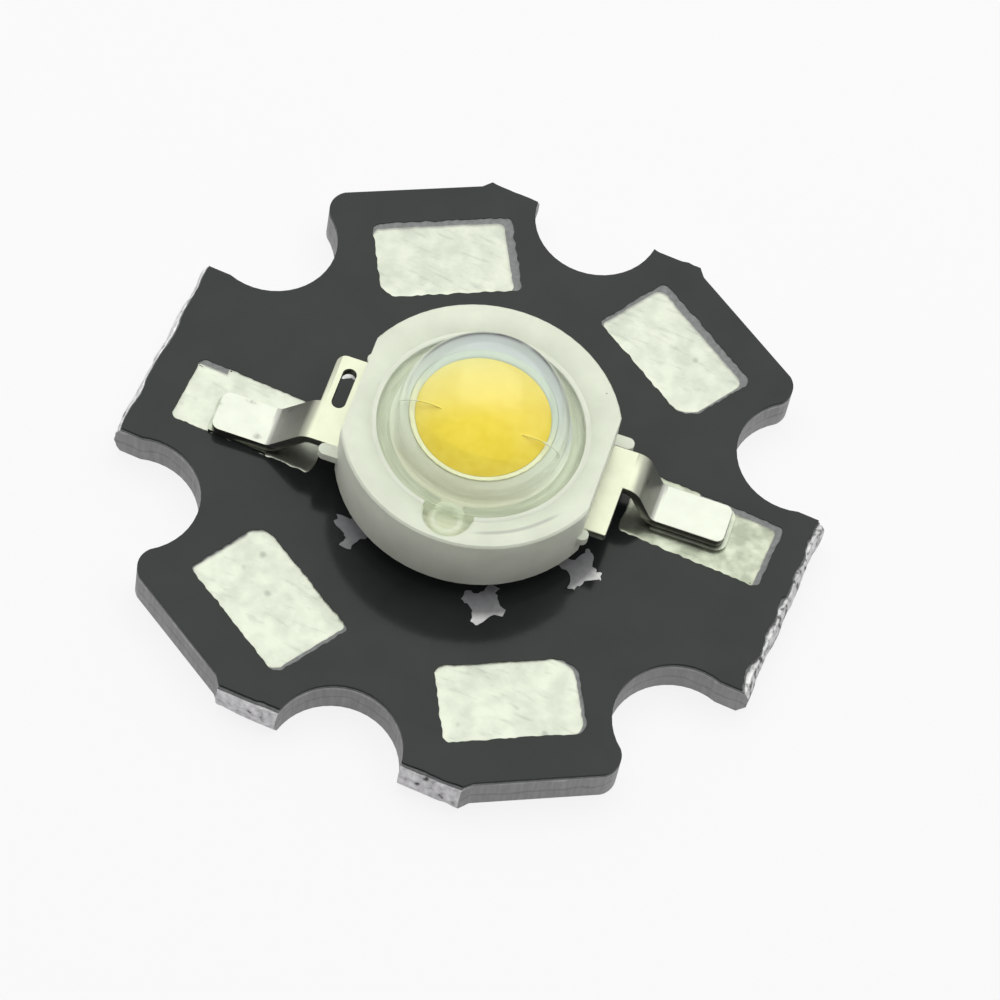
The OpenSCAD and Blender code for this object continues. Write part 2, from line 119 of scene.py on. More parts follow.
# Pads, each in its lobe's own direction: angle of the lobe, then inner end, outer end, right side and
# left side of the bare tin and of the opening, then the radii of the corners. The tin of a lead pad has
# the outline of its foil
PADS = {
    "tin_upper_left": (120, (6.2, 8.6, -2.03, 1.93), (6.2, 8.8, -2.3, 1.93), (0.3, 0.18, 0.18, 0.5)),
    "tin_upper_right": (60, (6.36, 8.6, -2.0, 1.96), (6.36, 8.86, -2.09, 2.08), (0.25, 0.25, 0.7, 0.16)),
    "tin_lower_left": (240, (6.01, 8.6, -1.98, 2.0), (6.01, 8.6, -2.04, 2.13), (0.3, 0.25, 0.52, 0.14)),
    "tin_lower_right": (300, (6.2, 8.63, -1.86, 2.15), (6.2, 8.63, -1.86, 2.27), (0.35, 0.2, 0.28, 0.66)),
    "tin_anode_pad": (0, None, (4.49, 8.92, 0.19, 2.39), (0.2, 0.2, 0.2, 0.2)),
    "tin_cathode_pad": (180, None, (4.23, 8.66, -0.11, 2.09), (0.2, 0.2, 0.2, 0.2)),
}
# Sides of the four corners of a pad along and across its lobe, in the order of the radii
CORNERS = ((1, 1), (1, -1), (-1, -1), (-1, 1))
# Lengths of the steps along the edge of an opening, of a pad's tin and of a broken edge
OPENING_STEP = 0.045
PAD_STEP = 0.05
BREAK_STEP = 0.1
# Bends of a lacquer edge: their width and how far they wander, coarse and fine
COARSE_BEND, COARSE_REACH = 0.45, 0.02
FINE_BEND, FINE_REACH = 0.19, 0.04
# Reach of a score face behind the furthest edge, and how much deeper the break on the +X side is
SCORE_REACH = 0.22
ROUGHEST = 2.3
# Spread of the tin over its outline, and of the bare laminate below the lacquer, and how much of an
# inward wander is taken back
TIN_SPREAD = 0.015
BARE_SPREAD = 0.13
KEPT_OUT = 0.8
# Edges of a lead pad's foil shorter than this are closed up
SHORT_EDGE = 0.04
# Rim of the tin: two steps, each inwards and upwards
RIM_STEPS = ((0.035, 0.014), (0.06, 0.004))
# Swells of the tin: mesh, width and height
SWELL_MESH, SWELL_WIDTH, SWELL_HEIGHT = 0.16, 0.6, 0.006
# Places of the plus marks, half width of their middle, length of an arm, and half sides of a minus
PLUS_PLACES = ((2.0, -3.81), (4.07, -1.54), (-2.28, -3.12))
PLUS_MIDDLE, PLUS_ARM = 0.28, 0.47
MINUS_LONG, MINUS_SHARE = 0.75, 0.27
# Film of ink: gap to the lacquer, thickness, and its raggedness against that of the lacquer
INK_GAP, INK_FILM, INK_RAGGED = 0.001, 0.015, 3
# Section of the gel plug, from the wall of the port and from the seat, and section of the bead of gel
PLUG_BOTTOM, PLUG_TOP = -0.1, 0.02
PLUG_RIM = (
    (-0.01, -0.1), (0.22, -0.01), (0.18, 0.04), (0.1, 0.08), (0.03, 0.085), (-0.02, 0.06), (-0.05, 0.03),
)
BEAD = ((3.0, 3.98), (3.02, 4.05), (3.07, 4.062), (3.13, 4.06), (3.18, 4.03), (3.18, 3.98))
# Half of the bead's gap at the port
BEAD_GAP = math.radians(14)
# Settings of a mix that multiplies two colours
MULTIPLY = {"data_type": "RGBA", "blend_type": "MULTIPLY"}


def linear(code, alpha=1.0):
    """An sRGB hex colour as the linear values that a shader takes."""
    parts = [int(code[i : i + 2], 16) / 255 for i in (1, 3, 5)]
    return (*[c / 12.92 if c <= 0.04045 else ((c + 0.055) / 1.055) ** 2.4 for c in parts], alpha)


def grey(value):
    return (value, value, value, 1)


def per_mm(size):
    """Scale of a pattern whose features are this many millimetres wide."""
    return 1 / (size * MM)


def add(tree, kind, inputs=(), stops=(), **settings):
    """Add a shader node with its settings, socket values, links and colour stops.

    A node among the inputs is linked from its first output in use. A stop's colour is a hex code or a grey.
    """
    made = tree.nodes.new("ShaderNode" + kind)
    for name, value in settings.items():
        setattr(made, name, value)
    for key, value in dict(inputs).items():
        if isinstance(value, bpy.types.Node):
            value = next(out for out in value.outputs if out.enabled)
        if isinstance(value, bpy.types.NodeSocket):
            tree.links.new(value, made.inputs[key])
        else:
            made.inputs[key].default_value = value
    if stops:
        elements = made.color_ramp.elements
        while len(elements) < len(stops):
            elements.new(0.5)
        for element, (position, colour) in zip(elements, stops):
            element.position = position
            element.color = linear(colour) if isinstance(colour, str) else grey(colour)
    return made


def new_material(name):
    """An empty node material and its Object coordinates."""
    material = bpy.data.materials.new(name)
    material.use_nodes = True
    tree = material.node_tree
    tree.nodes.clear()
    place = add(tree, "TexCoord").outputs["Object"]
    return material, tree, place


def from_axis(tree, place):
    """Distance of a place from the part's axis."""
    split = add(tree, "SeparateXYZ", {"Vector": place})
    flat = add(tree, "CombineXYZ", {"X": split.outputs["X"], "Y": split.outputs["Y"]})
    return add(tree, "VectorMath", {0: flat}, operation="LENGTH")


def white_nylon():
    """Glass-filled nylon, moulded white: a soft satin surface with cloudy patches, a few specks and a
    painted shade line on the rim.
    """
    material, tree, place = new_material("white moulded nylon")
    cloud = add(tree, "TexNoise", {"Vector": place, "Scale": per_mm(1.1), "Detail": 3.0})
    fine = add(tree, "TexNoise", {"Vector": place, "Scale": per_mm(0.12), "Detail": 2.0})
    speck = add(tree, "TexVoronoi", {"Vector": place, "Scale": per_mm(1.25)})
    tone = add(tree, "ValToRGB", {"Fac": cloud}, stops=((0.3, "#cdd3c1"), (0.7, "#d8decc")))
    spot = add(tree, "ValToRGB", {"Fac": speck}, stops=((0.02, 1), (0.035, 0)))
    # A painted shade line runs 3.57 mm from the axis in front, on the side of the +X lead, where the outer
    # edge of the rim's bevel shows dark
    shade_line_r, half = 3.57 * MM, 0.1 * MM
    ring = add(
        tree, "MapRange",
        {"Value": from_axis(tree, place), "From Min": shade_line_r - half, "From Max": shade_line_r + half},
    )
    shade_line = add(tree, "ValToRGB", {"Fac": ring}, stops=((0.1, 0), (0.4, 0.5), (0.6, 0.5), (0.9, 0)))
    way = add(
        tree, "VectorMath", {0: place, 1: (0.64 / shade_line_r, -0.77 / shade_line_r, 0)}, operation="DOT_PRODUCT"
    )
    reach = add(tree, "ValToRGB", {"Fac": way}, stops=((0.93, 0), (0.97, 1)))
    shade_line = add(tree, "Math", {0: shade_line, 1: reach}, operation="MULTIPLY")
    # The grey marks both the real specks and the painted shade line
    mark = add(tree, "Math", {0: shade_line, 1: spot}, operation="MAXIMUM")
    colour = add(tree, "Mix", {"Factor": mark, "A": tone, "B": linear("#8f8f8c")}, data_type="RGBA")
    bump = add(tree, "Bump", {"Height": fine, "Strength": 0.25, "Distance": 0.012 * MM})
    nylon = add(
        tree, "BsdfPrincipled",
        {"Base Color": colour, "Roughness": 0.42, "Normal": bump, "Subsurface Weight": 0.12,
         "Subsurface Radius": (0.5 * MM, 0.5 * MM, 0.4 * MM), "Subsurface Scale": 1.0},
    )
    add(tree, "OutputMaterial", {"Surface": nylon})
    return material


def gel_streaks(name, dark, light, front, specular, back="#ffffff"):
    """Surface wetted by silicone gel: smears that run around the dome, with painted shade in front and a
    painted reflection behind.
    """
    material, tree, place = new_material(name)
    around = add(tree, "TexGradient", {"Vector": place}, gradient_type="RADIAL")
    # One turn is 18 mm long at the seat, and a smear is about 1.5 mm by 0.15 mm
    turn = add(tree, "Math", {0: around.outputs["Fac"], 1: 18 / 1.5}, operation="MULTIPLY")
    out = add(tree, "Math", {0: from_axis(tree, place), 1: per_mm(0.15)}, operation="MULTIPLY")
    lay = add(tree, "CombineXYZ", {"X": turn, "Y": out})
    smear = add(tree, "TexNoise", {"Vector": lay, "Scale": 1.0, "Detail": 3.0})
    tone = add(tree, "ValToRGB", {"Fac": smear}, stops=((0.3, dark), (0.68, light)))
    # Painted light: the front colour is painted shade on the near side, and the back colour a painted bluish
    # reflection on the far side
    split = add(tree, "SeparateXYZ", {"Vector": place})
    depth = add(
        tree, "MapRange", {"Value": split.outputs["Y"], "From Min": -1.8 * MM, "From Max": 1.8 * MM}
    )
    tint = add(tree, "ValToRGB", {"Fac": depth}, stops=((0.0, front), (0.5, 1), (0.9, back)))
    colour = add(tree, "Mix", {"Factor": 1.0, "A": tone, "B": tint}, **MULTIPLY)
    gel = add(
        tree, "BsdfPrincipled", {"Base Color": colour, "Roughness": 0.4, "Specular IOR Level": specular}
    )
    add(tree, "OutputMaterial", {"Surface": gel})
    return material


def black_mask():
    """Solder lacquer, screened black: a satin film with a faint mottle and hair scratches."""
    material, tree, place = new_material("black solder lacquer")
    cloud = add(tree, "TexNoise", {"Vector": place, "Scale": per_mm(1.6), "Detail": 4.0})
    grain = add(tree, "TexNoise", {"Vector": place, "Scale": per_mm(0.16), "Detail": 3.0})
    colour = add(tree, "ValToRGB", {"Fac": cloud}, stops=((0.3, "#212524"), (0.75, "#282c2b")))
    rough = add(tree, "ValToRGB", {"Fac": grain}, stops=((0.3, 0.1), (0.7, 0.16)))
    bump = add(tree, "Bump", {"Height": grain, "Strength": 0.2, "Distance": 0.004 * MM})
    lacquer = add(
        tree, "BsdfPrincipled",
        {"Base Color": colour, "Roughness": rough, "Specular IOR Level": 0.17, "Normal": bump},
    )
    add(tree, "OutputMaterial", {"Surface": lacquer})
    return material


def grey_laminate():
    """Filled epoxy laminate: dull mid grey, with the grain of its filler."""
    material, tree, place = new_material("grey epoxy laminate")
    grain = add(tree, "TexNoise", {"Vector": place, "Scale": per_mm(0.14), "Detail": 4.0})
    colour = add(tree, "ValToRGB", {"Fac": grain}, stops=((0.3, "#666968"), (0.7, "#7d807f")))
    laminate = add(tree, "BsdfPrincipled", {"Base Color": colour, "Roughness": 0.6})
    add(tree, "OutputMaterial", {"Surface": laminate})
    return material


def punched_aluminium():
    """Aluminium core, punched: grey walls with upright drag lines and a torn band below the middle."""
    material, tree, place = new_material("punched aluminium")
    stretch = add(
        tree, "Mapping", {"Vector": place, "Scale": (per_mm(0.12), per_mm(0.12), per_mm(0.9))}
    )
    drag = add(tree, "TexNoise", {"Vector": stretch, "Scale": 1.0, "Detail": 4.0})
    cloud = add(tree, "TexNoise", {"Vector": place, "Scale": per_mm(0.7), "Detail": 3.0})
    height = add(tree, "SeparateXYZ", {"Vector": place})
    wander = add(
        tree, "Math", {0: cloud, 1: 0.5 * MM, 2: height.outputs["Z"]}, operation="MULTIPLY_ADD"
    )
    level = add(tree, "MapRange", {"Value": wander, "From Min": 0.25 * MM, "From Max": 1.35 * MM})
    band = add(
        tree, "ValToRGB", {"Fac": level},
        stops=((0.0, 0.62), (0.42, 0.56), (0.48, 0.4), (0.54, 0.55), (0.9, 0.5), (1.0, 0.7)),
    )
    tone = add(tree, "ValToRGB", {"Fac": drag}, stops=((0.25, 0.75), (0.75, 1.0)))
    colour = add(tree, "Mix", {"Factor": 1.0, "A": band, "B": tone}, **MULTIPLY)
    bump = add(tree, "Bump", {"Height": drag, "Strength": 0.5, "Distance": 0.02 * MM})
    metal = add(
        tree, "BsdfPrincipled", {"Base Color": colour, "Metallic": 0.6, "Roughness": 0.5, "Normal": bump}
    )
    add(tree, "OutputMaterial", {"Surface": metal})
    return material


def broken_aluminium():
    """Aluminium torn at the score: bright crushed grain with dark cracks."""
    material, tree, place = new_material("torn aluminium")
    flake = add(tree, "TexNoise", {"Vector": place, "Scale": per_mm(0.22), "Detail": 5.0})
    # The break on the +X side was the roughest and has the most cracks
    split = add(tree, "SeparateXYZ", {"Vector": place})
    rough = add(
        tree, "MapRange",
        {"Value": split.outputs["X"], "From Min": 9.2 * MM, "From Max": 9.6 * MM, "To Max": -0.08},
    )
    crack = add(tree, "Math", {0: flake, 1: rough}, operation="ADD")
    colour = add(
        tree, "ValToRGB", {"Fac": crack}, stops=((0.28, 0.07), (0.39, 0.6), (0.6, 0.84), (0.7, 0.97))
    )
    bump = add(tree, "Bump", {"Height": flake, "Strength": 0.7, "Distance": 0.05 * MM})
    metal = add(
        tree, "BsdfPrincipled", {"Base Color": colour, "Metallic": 0.15, "Roughness": 0.4, "Normal": bump}
    )
    add(tree, "OutputMaterial", {"Surface": metal})
    return material


def tin_plating(name, dark, light):
    """Hot-levelled tin: pale greenish metal with soft mottling and fine scratches."""
    material, tree, place = new_material(name)
    cloud = add(tree, "TexNoise", {"Vector": place, "Scale": per_mm(0.55), "Detail": 4.0})
    grain = add(tree, "TexNoise", {"Vector": place, "Scale": per_mm(0.12), "Detail": 3.0})
    stretch = add(
        tree, "Mapping",
        {"Vector": place, "Rotation": (0, 0, math.radians(35)),
         "Scale": (per_mm(0.7), per_mm(0.16), per_mm(1.0))},
    )
    hair = add(tree, "TexNoise", {"Vector": stretch, "Scale": 1.0, "Detail": 2.0})
    pit = add(tree, "TexVoronoi", {"Vector": place, "Scale": per_mm(1.1)})
    tone = add(tree, "ValToRGB", {"Fac": cloud}, stops=((0.35, dark), (0.62, light)))
    line = add(tree, "ValToRGB", {"Fac": hair}, stops=((0.3, 0.88), (0.42, 1.0)))
    spot = add(tree, "ValToRGB", {"Fac": pit}, stops=((0.05, 0.72), (0.13, 1.0)))
    marks = add(tree, "Mix", {"Factor": 1.0, "A": line, "B": spot}, **MULTIPLY)
    colour = add(tree, "Mix", {"Factor": 1.0, "A": tone, "B": marks}, **MULTIPLY)
    bump = add(tree, "Bump", {"Height": grain, "Strength": 0.35, "Distance": 0.012 * MM})
    tin = add(
        tree, "BsdfPrincipled", {"Base Color": colour, "Metallic": 1.0, "Roughness": 0.34, "Normal": bump}
    )
    add(tree, "OutputMaterial", {"Surface": tin})
    return material


def plated_sheet():
    """Silver-plated sheet, stamped and bent: cream on the tabs, white on the feet, with painted dark
    reflections at the bends and on the feet's near sides.
    """
    material, tree, place = new_material("silver-plated sheet")
    stretch = add(
        tree, "Mapping", {"Vector": place, "Scale": (per_mm(1.2), per_mm(0.07), per_mm(1.2))}
    )
    roll = add(tree, "TexNoise", {"Vector": stretch, "Scale": 1.0, "Detail": 2.0})
    cloud = add(tree, "TexNoise", {"Vector": place, "Scale": per_mm(0.5), "Detail": 4.0})
    height = add(tree, "SeparateXYZ", {"Vector": place})
    # Painted reflection: the colour darkens at the bends and most of all on the feet's near sides, where the
    # metal mirrors the black lacquer
    level = add(
        tree, "MapRange", {"Value": height.outputs["Z"], "From Min": 1.4 * MM, "From Max": 3.0 * MM}
    )
    tone = add(
        tree, "ValToRGB", {"Fac": level},
        stops=((0.16, "#6b6e63"), (0.185, "#b0b1aa"), (0.25, "#a3a59c"), (0.55, "#94978d"),
               (0.88, "#8f9184"), (0.945, "#adae9d")),
    )
    stain = add(tree, "ValToRGB", {"Fac": cloud}, stops=((0.24, 0.55), (0.34, 0.93), (0.7, 1.0)))
    colour = add(tree, "Mix", {"Factor": 1.0, "A": tone, "B": stain}, **MULTIPLY)
    bump = add(tree, "Bump", {"Height": roll, "Strength": 0.2, "Distance": 0.006 * MM})
    metal = add(
        tree, "BsdfPrincipled", {"Base Color": colour, "Metallic": 0.9, "Roughness": 0.34, "Normal": bump}
    )
    add(tree, "OutputMaterial", {"Surface": metal})
    return material


def clear_silicone(name, ior):
    """Clear moulded silicone: polished, bends what is behind it, and has a painted dark rim at its far edge.
    """
    material, tree, place = new_material(name)
    ripple = add(tree, "TexNoise", {"Vector": place, "Scale": per_mm(1.8), "Detail": 1.0})
    bump = add(tree, "Bump", {"Height": ripple, "Strength": 0.1, "Distance": 0.01 * MM})
    # Painted shade: the colour turns dark grey at the far edge of the dome, where the surface is seen
    # edge-on
    weight = add(tree, "LayerWeight", {"Blend": 0.5})
    edge = add(tree, "ValToRGB", {"Fac": weight.outputs["Facing"]}, stops=((0.66, 0), (0.77, 1)))
    split = add(tree, "SeparateXYZ", {"Vector": place})
    back = add(
        tree, "MapRange", {"Value": split.outputs["Y"], "From Min": 0.1 * MM, "From Max": 0.8 * MM}
    )
    broken = add(tree, "ValToRGB", {"Fac": ripple}, stops=((0.42, 0.1), (0.5, 1)))
    painted_dark_rim = add(tree, "Math", {0: edge, 1: back}, operation="MULTIPLY")
    painted_dark_rim = add(tree, "Math", {0: painted_dark_rim, 1: broken}, operation="MULTIPLY")
    clear = linear("#f7faf6")
    colour = add(tree, "Mix", {"Factor": painted_dark_rim, "A": clear, "B": linear("#3c4042")}, data_type="RGBA")
    glass = add(
        tree, "BsdfPrincipled",
        {"Base Color": colour, "Roughness": 0.02, "IOR": ior, "Transmission Weight": 1.0,
         "Specular Tint": grey(0.1), "Coat Weight": 1.0, "Coat Roughness": 0.27, "Normal": bump},
    )
    through = add(tree, "BsdfTransparent", {"Color": clear})
    path = add(tree, "LightPath")
    both = add(tree, "MixShader", {"Fac": path.outputs["Is Shadow Ray"], 1: glass, 2: through})
    add(tree, "OutputMaterial", {"Surface": both})
    return material


def yellow_phosphor():
    """Phosphor powder cast in silicone: saturated yellow with settled grain, and painted light that makes it
    paler towards the far rim.
    """
    material, tree, place = new_material("phosphor in silicone")
    grain = add(tree, "TexNoise", {"Vector": place, "Scale": per_mm(0.25), "Detail": 4.0})
    tone = add(tree, "ValToRGB", {"Fac": grain}, stops=((0.3, "#e4c42c"), (0.7, "#ecd044")))
    # Painted light: paler towards the far rim, standing for the lamp's light and reflection gathered on that
    # half of the disc
    rim = CUP_R * MM
    far = add(tree, "VectorMath", {0: place, 1: (-0.6 / rim, 0.8 / rim, 0.0)}, operation="DOT_PRODUCT")
    thin = add(tree, "ValToRGB", {"Fac": far}, stops=((0.0, 0.1), (0.8, 0.5), (1.0, 0.8)))
    colour = add(tree, "Mix", {"Factor": thin, "A": tone, "B": linear("#eae19a")}, data_type="RGBA")
    powder = add(
        tree, "BsdfPrincipled", {"Base Color": colour, "Roughness": 0.6, "Specular IOR Level": 0.0}
    )
    add(tree, "OutputMaterial", {"Surface": powder})
    return material


def cup_silver():
    """Silver-plated copper: a cream rim in front, turning grey-green towards the back."""
    material, tree, place = new_material("silver-plated copper")
    cloud = add(tree, "TexNoise", {"Vector": place, "Scale": per_mm(0.4), "Detail": 3.0})
    tone = add(tree, "ValToRGB", {"Fac": cloud}, stops=((0.3, "#dedcb9"), (0.7, "#e9e7c8")))
    split = add(tree, "SeparateXYZ", {"Vector": place})
    back = add(
        tree, "MapRange", {"Value": split.outputs["Y"], "From Min": 0.1 * MM, "From Max": 0.7 * MM}
    )
    colour = add(tree, "Mix", {"Factor": back, "A": tone, "B": linear("#c8d1c8")}, data_type="RGBA")
    silver = add(
        tree, "BsdfPrincipled",
        {"Base Color": colour, "Metallic": 0.3, "Roughness": 0.5, "Specular IOR Level": 0.0},
    )
    add(tree, "OutputMaterial", {"Surface": silver})
    return material


def coated_wire():
    """Bond wire with a skin of the castings that it runs through: yellow in the cup, milky beside it, both
    painted lighter than the castings to make up for the wire's shade.
    """
    material, tree, place = new_material("coated bond wire")
    out = add(
        tree, "MapRange",
        {"Value": from_axis(tree, place), "From Min": 1.2 * MM, "From Max": 1.6 * MM},
    )
    # Painted light: the skin's colours are lighter than the castings', to offset the shade on the thin wire
    colour = add(
        tree, "ValToRGB", {"Fac": out},
        stops=((0.25, "#f5e26c"), (0.35, "#f5f4de"), (0.6, "#f5f4de"), (0.7, "#e9eee0")),
    )
    skin = add(
        tree, "BsdfPrincipled", {"Base Color": colour, "Roughness": 0.6, "Specular IOR Level": 0.0}
    )
    add(tree, "OutputMaterial", {"Surface": skin})
    return material


def plain_metal(name, dark, light, roughness, size):
    """A hidden metal with the mottle of its finish."""
    material, tree, place = new_material(name)
    cloud = add(tree, "TexNoise", {"Vector": place, "Scale": per_mm(size), "Detail": 3.0})
    colour = add(tree, "ValToRGB", {"Fac": cloud}, stops=((0.3, dark), (0.7, light)))
    metal = add(tree, "BsdfPrincipled", {"Base Color": colour, "Metallic": 1.0, "Roughness": roughness})
    add(tree, "OutputMaterial", {"Surface": metal})
    return material


def chip_sapphire():
    """Blue-grey sapphire chip with the bars of its contact grid."""
    material, tree, place = new_material("sapphire chip")
    bars = add(tree, "TexWave", {"Vector": place, "Scale": per_mm(1.2), "Distortion": 0.0})
    colour = add(
        tree, "ValToRGB", {"Fac": bars.outputs["Fac"]}, stops=((0.85, "#4d5d7c"), (0.92, "#b59a55"))
    )
    sapphire = add(tree, "BsdfPrincipled", {"Base Color": colour, "Roughness": 0.25})
    add(tree, "OutputMaterial", {"Surface": sapphire})
    return material


def white_ink():
    """Screened legend ink: chalky white at the tips, with the housing's shadow painted grey beside the
    housing.
    """
    material, tree, place = new_material("screened white ink")
    film = add(tree, "TexNoise", {"Vector": place, "Scale": per_mm(0.2), "Detail": 3.0})
    tone = add(tree, "ValToRGB", {"Fac": film}, stops=((0.3, 0.8), (0.7, 1.0)))
    # Painted shadow: the ink turns grey near the housing, where the housing's shadow falls on it
    out = add(
        tree, "MapRange",
        {"Value": from_axis(tree, place), "From Min": 4.3 * MM, "From Max": 5.2 * MM},
    )
    painted_shadow = add(
        tree, "ValToRGB", {"Fac": out}, stops=((0.0, "#838586"), (0.3, "#909291"), (0.6, "#f0f2ef"))
    )
    colour = add(tree, "Mix", {"Factor": 1.0, "A": tone, "B": painted_shadow}, **MULTIPLY)
    ink = add(tree, "BsdfPrincipled", {"Base Color": colour, "Roughness": 0.6})
    add(tree, "OutputMaterial", {"Surface": ink})
    return material


def smooth_all(bm):
    for face in bm.faces:
        face.smooth = True


def node_copy(node, join=True):
    """Merged copy of a CAD node as a bmesh, with its flat faces joined where that is asked."""
    bm = bmesh.new()
    bm.from_mesh(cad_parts[node].data)
    bmesh.ops.remove_doubles(bm, verts=bm.verts[:], dist=WELD)
    if join:
        bmesh.ops.dissolve_limit(bm, angle_limit=FLAT, verts=bm.verts[:], edges=bm.edges[:])
    smooth_all(bm)
    return bm


def sharp_edges(bm):
    return [e for e in bm.edges if e.is_manifold and e.calc_face_angle(0) > SHARP]


def middle_of(edge):
    return (edge.verts[0].co + edge.verts[1].co) / 2


def soften(bm, edges, width, segments=2, clamp=True):
    """Round these edges by a width."""
    bmesh.ops.bevel(
        bm, geom=edges, offset=width * MM, offset_type="OFFSET", affect="EDGES", segments=segments,
        profile=0.5, material=-1, clamp_overlap=clamp,
    )


def new_verts(result):
    """Vertices that an extrusion made."""
    return [g for g in result["geom"] if isinstance(g, bmesh.types.BMVert)]


def thicken(bm, height):
    """Give a flat bmesh a thickness, up or down, and turn its normals outwards."""
    grown = bmesh.ops.extrude_face_region(bm, geom=bm.faces[:])
    bmesh.ops.translate(bm, verts=new_verts(grown), vec=UP * height * MM)
    bmesh.ops.recalc_face_normals(bm, faces=bm.faces[:])


def make_piece(bm, name, materials, slot, *nodes):
    """Turn a bmesh into a finished piece that rides with the board and stands for some CAD nodes."""
    bm.faces.index_update()
    flat = [face.index for face in bm.faces if not face.smooth]
    mesh = bpy.data.meshes.new(name)
    bm.to_mesh(mesh)
    bm.free()
    mesh.set_sharp_from_angle(angle=SHARP)
    for index in flat:
        mesh.polygons[index].use_smooth = False
    for material in materials:
        mesh.materials.append(material)
    piece = bpy.data.objects.new(name, mesh)
    bpy.context.scene.collection.objects.link(piece)
    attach(piece, BODY)
    if nodes:
        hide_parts(*nodes)


def dress(material, *nodes):
    """Give CAD nodes a finished material."""
    for node in nodes:
        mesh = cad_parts[node].data
        mesh.materials.clear()
        mesh.materials.append(material)


def spun(profile, steps):
    """Closed bmesh from a profile of radius and height, turned around the axis."""
    bm = bmesh.new()
    verts = [bm.verts.new((r * MM, 0, z * MM)) for r, z in profile]
    edges = [bm.edges.new(pair) for pair in zip(verts, verts[1:])]
    bmesh.ops.spin(
        bm, geom=verts + edges, cent=(0, 0, 0), axis=UP, angle=2 * math.pi, steps=steps, use_merge=True
    )
    bmesh.ops.remove_doubles(bm, verts=bm.verts[:], dist=WELD)
    bmesh.ops.recalc_face_normals(bm, faces=bm.faces[:])
    smooth_all(bm)
    return bm


def arc(cx, cz, r, start, finish, count):
    """Points of an arc in a profile, with angles in degrees from the radius."""
    turn = [math.radians(start + (finish - start) * i / count) for i in range(count + 1)]
    return [(cx + r * math.cos(a), cz + r * math.sin(a)) for a in turn]


def waver(point):
    """Sideways wander of a lacquer edge at a point of the board."""
    flat = Vector((point.x, point.y, 0)) / MM
    coarse = noise.noise_vector(flat / COARSE_BEND)
    fine = noise.noise_vector(flat / FINE_BEND + Vector((7, 3, 0)))
    step = coarse * COARSE_REACH + fine * FINE_REACH
    return Vector((step.x, step.y, 0)) * MM


def waver_outline(face, spread):
    """Move the outline of a flat face out by a spread, and let it wander outwards."""
    steps = {}
    for loop in face.loops:
        before = loop.vert.co - loop.link_loop_prev.vert.co
        after = loop.link_loop_next.vert.co - loop.vert.co
        way = before.normalized() + after.normalized()
        steps[loop.vert] = way.cross(face.normal).normalized()
    for vert, out in steps.items():
        wander = waver(vert.co)
        inward = min(wander.dot(out), 0)
        vert.co += wander + out * (spread * MM - KEPT_OUT * inward)


def chip(point):
    """Share of the chipping depth at a point of a broken edge: flakes of 0.9 mm, crumbs of 0.2 mm."""
    p = point / MM
    flake = noise.noise(p / 0.9) + 0.35 * noise.noise(p / 0.2)
    return min(max(0.35 + 0.9 * flake, 0.0), 1.0)


def cut_fine(bm, edges, length):
    """Divide edges until none is longer than a length."""
    groups = {}
    for edge in edges:
        cuts = int(edge.calc_length() / (length * MM))
        if cuts > 0:
            groups.setdefault(cuts, []).append(edge)
    for cuts, members in sorted(groups.items()):
        bmesh.ops.bisect_edges(bm, edges=members, cuts=cuts)


def score_side(point):
    """Outward direction of the score face that a point lies on, or None."""
    low, high = CAD_BOX
    reach = SCORE_REACH * MM
    for axis in (0, 1):
        side = Vector((0, 0, 0))
        side[axis] = (point[axis] > high[axis] - reach) - (point[axis] < low[axis] + reach)
        if side[axis]:
            return side
    return None


def is_score_face(face):
    side = score_side(face.calc_center_median())
    return side is not None and face.normal.dot(side) > 0.3


def roughen_scores(bm, depth, index):
    """Break the score faces into a fine mesh and chip it inwards."""
    faces = [f for f in bm.faces if is_score_face(f)]
    for face in faces:
        face.material_index = index
    bmesh.ops.triangulate(bm, faces=faces)
    for _ in range(7):
        bm.normal_update()
        faces = [f for f in bm.faces if is_score_face(f)]
        long_edges = {e for f in faces for e in f.edges if e.calc_length() > BREAK_STEP * MM}
        if not long_edges:
            break
        bmesh.ops.subdivide_edges(bm, edges=list(long_edges), cuts=1)
        bm.normal_update()
        bmesh.ops.triangulate(bm, faces=[f for f in bm.faces if is_score_face(f) and len(f.verts) > 3])
    bm.normal_update()
    faces = [f for f in bm.faces if is_score_face(f)]
    for face in bm.faces:
        face.smooth = face.normal.length > 0.5 and abs(face.normal.z) < QUITE_FLAT
    for face in faces:
        face.smooth = False
    for vert in {v for f in faces for v in f.verts}:
        side = score_side(vert.co)
        if side is not None:
            vert.co -= side * (depth * MM * chip(vert.co))


def round_corner(u, v, plan, radii):
    """Move a point of a rectangle's outline on to the arc of the corner that it lies in."""
    in_u, out_u, right_v, left_v = plan
    for (along, across), r in zip(CORNERS, radii):
        centre_u = out_u - r if along > 0 else in_u + r
        centre_v = left_v - r if across > 0 else right_v + r
        du, dv = u - centre_u, v - centre_v
        if du * along > 0 and dv * across > 0:
            share = r / math.hypot(du, dv)
            return centre_u + du * share, centre_v + dv * share
    return u, v


def near_notch(point):
    """True at the wall of a screw notch."""
    for k in range(6):
        notch = Matrix.Rotation(math.radians(30 + 60 * k), 2) @ Vector((NOTCH_RING * MM, 0))
        if (point.xy - notch).length < NOTCH_WALL * MM:
            return True
    return False


class LedSettings(bpy.types.PropertyGroup):
    """Sizes and colours of the finished pieces."""

    edge_round: FloatProperty(
        name="Edge rounding", description="Rounding of the housing's edges in millimetres", default=0.045
    )
    lead_round: FloatProperty(
        name="Lead rounding", description="Rounding of the leads' cut edges in millimetres", default=0.025
    )
    chip_depth: FloatProperty(
        name="Chip depth", description="Deepest chip in a broken edge in millimetres", default=0.09
    )
    dome_steps: IntProperty(name="Dome steps", description="Steps around the dome", default=128)
    dome_ior: FloatProperty(name="Dome IOR", description="Refractive index of the clear dome", default=1.45)


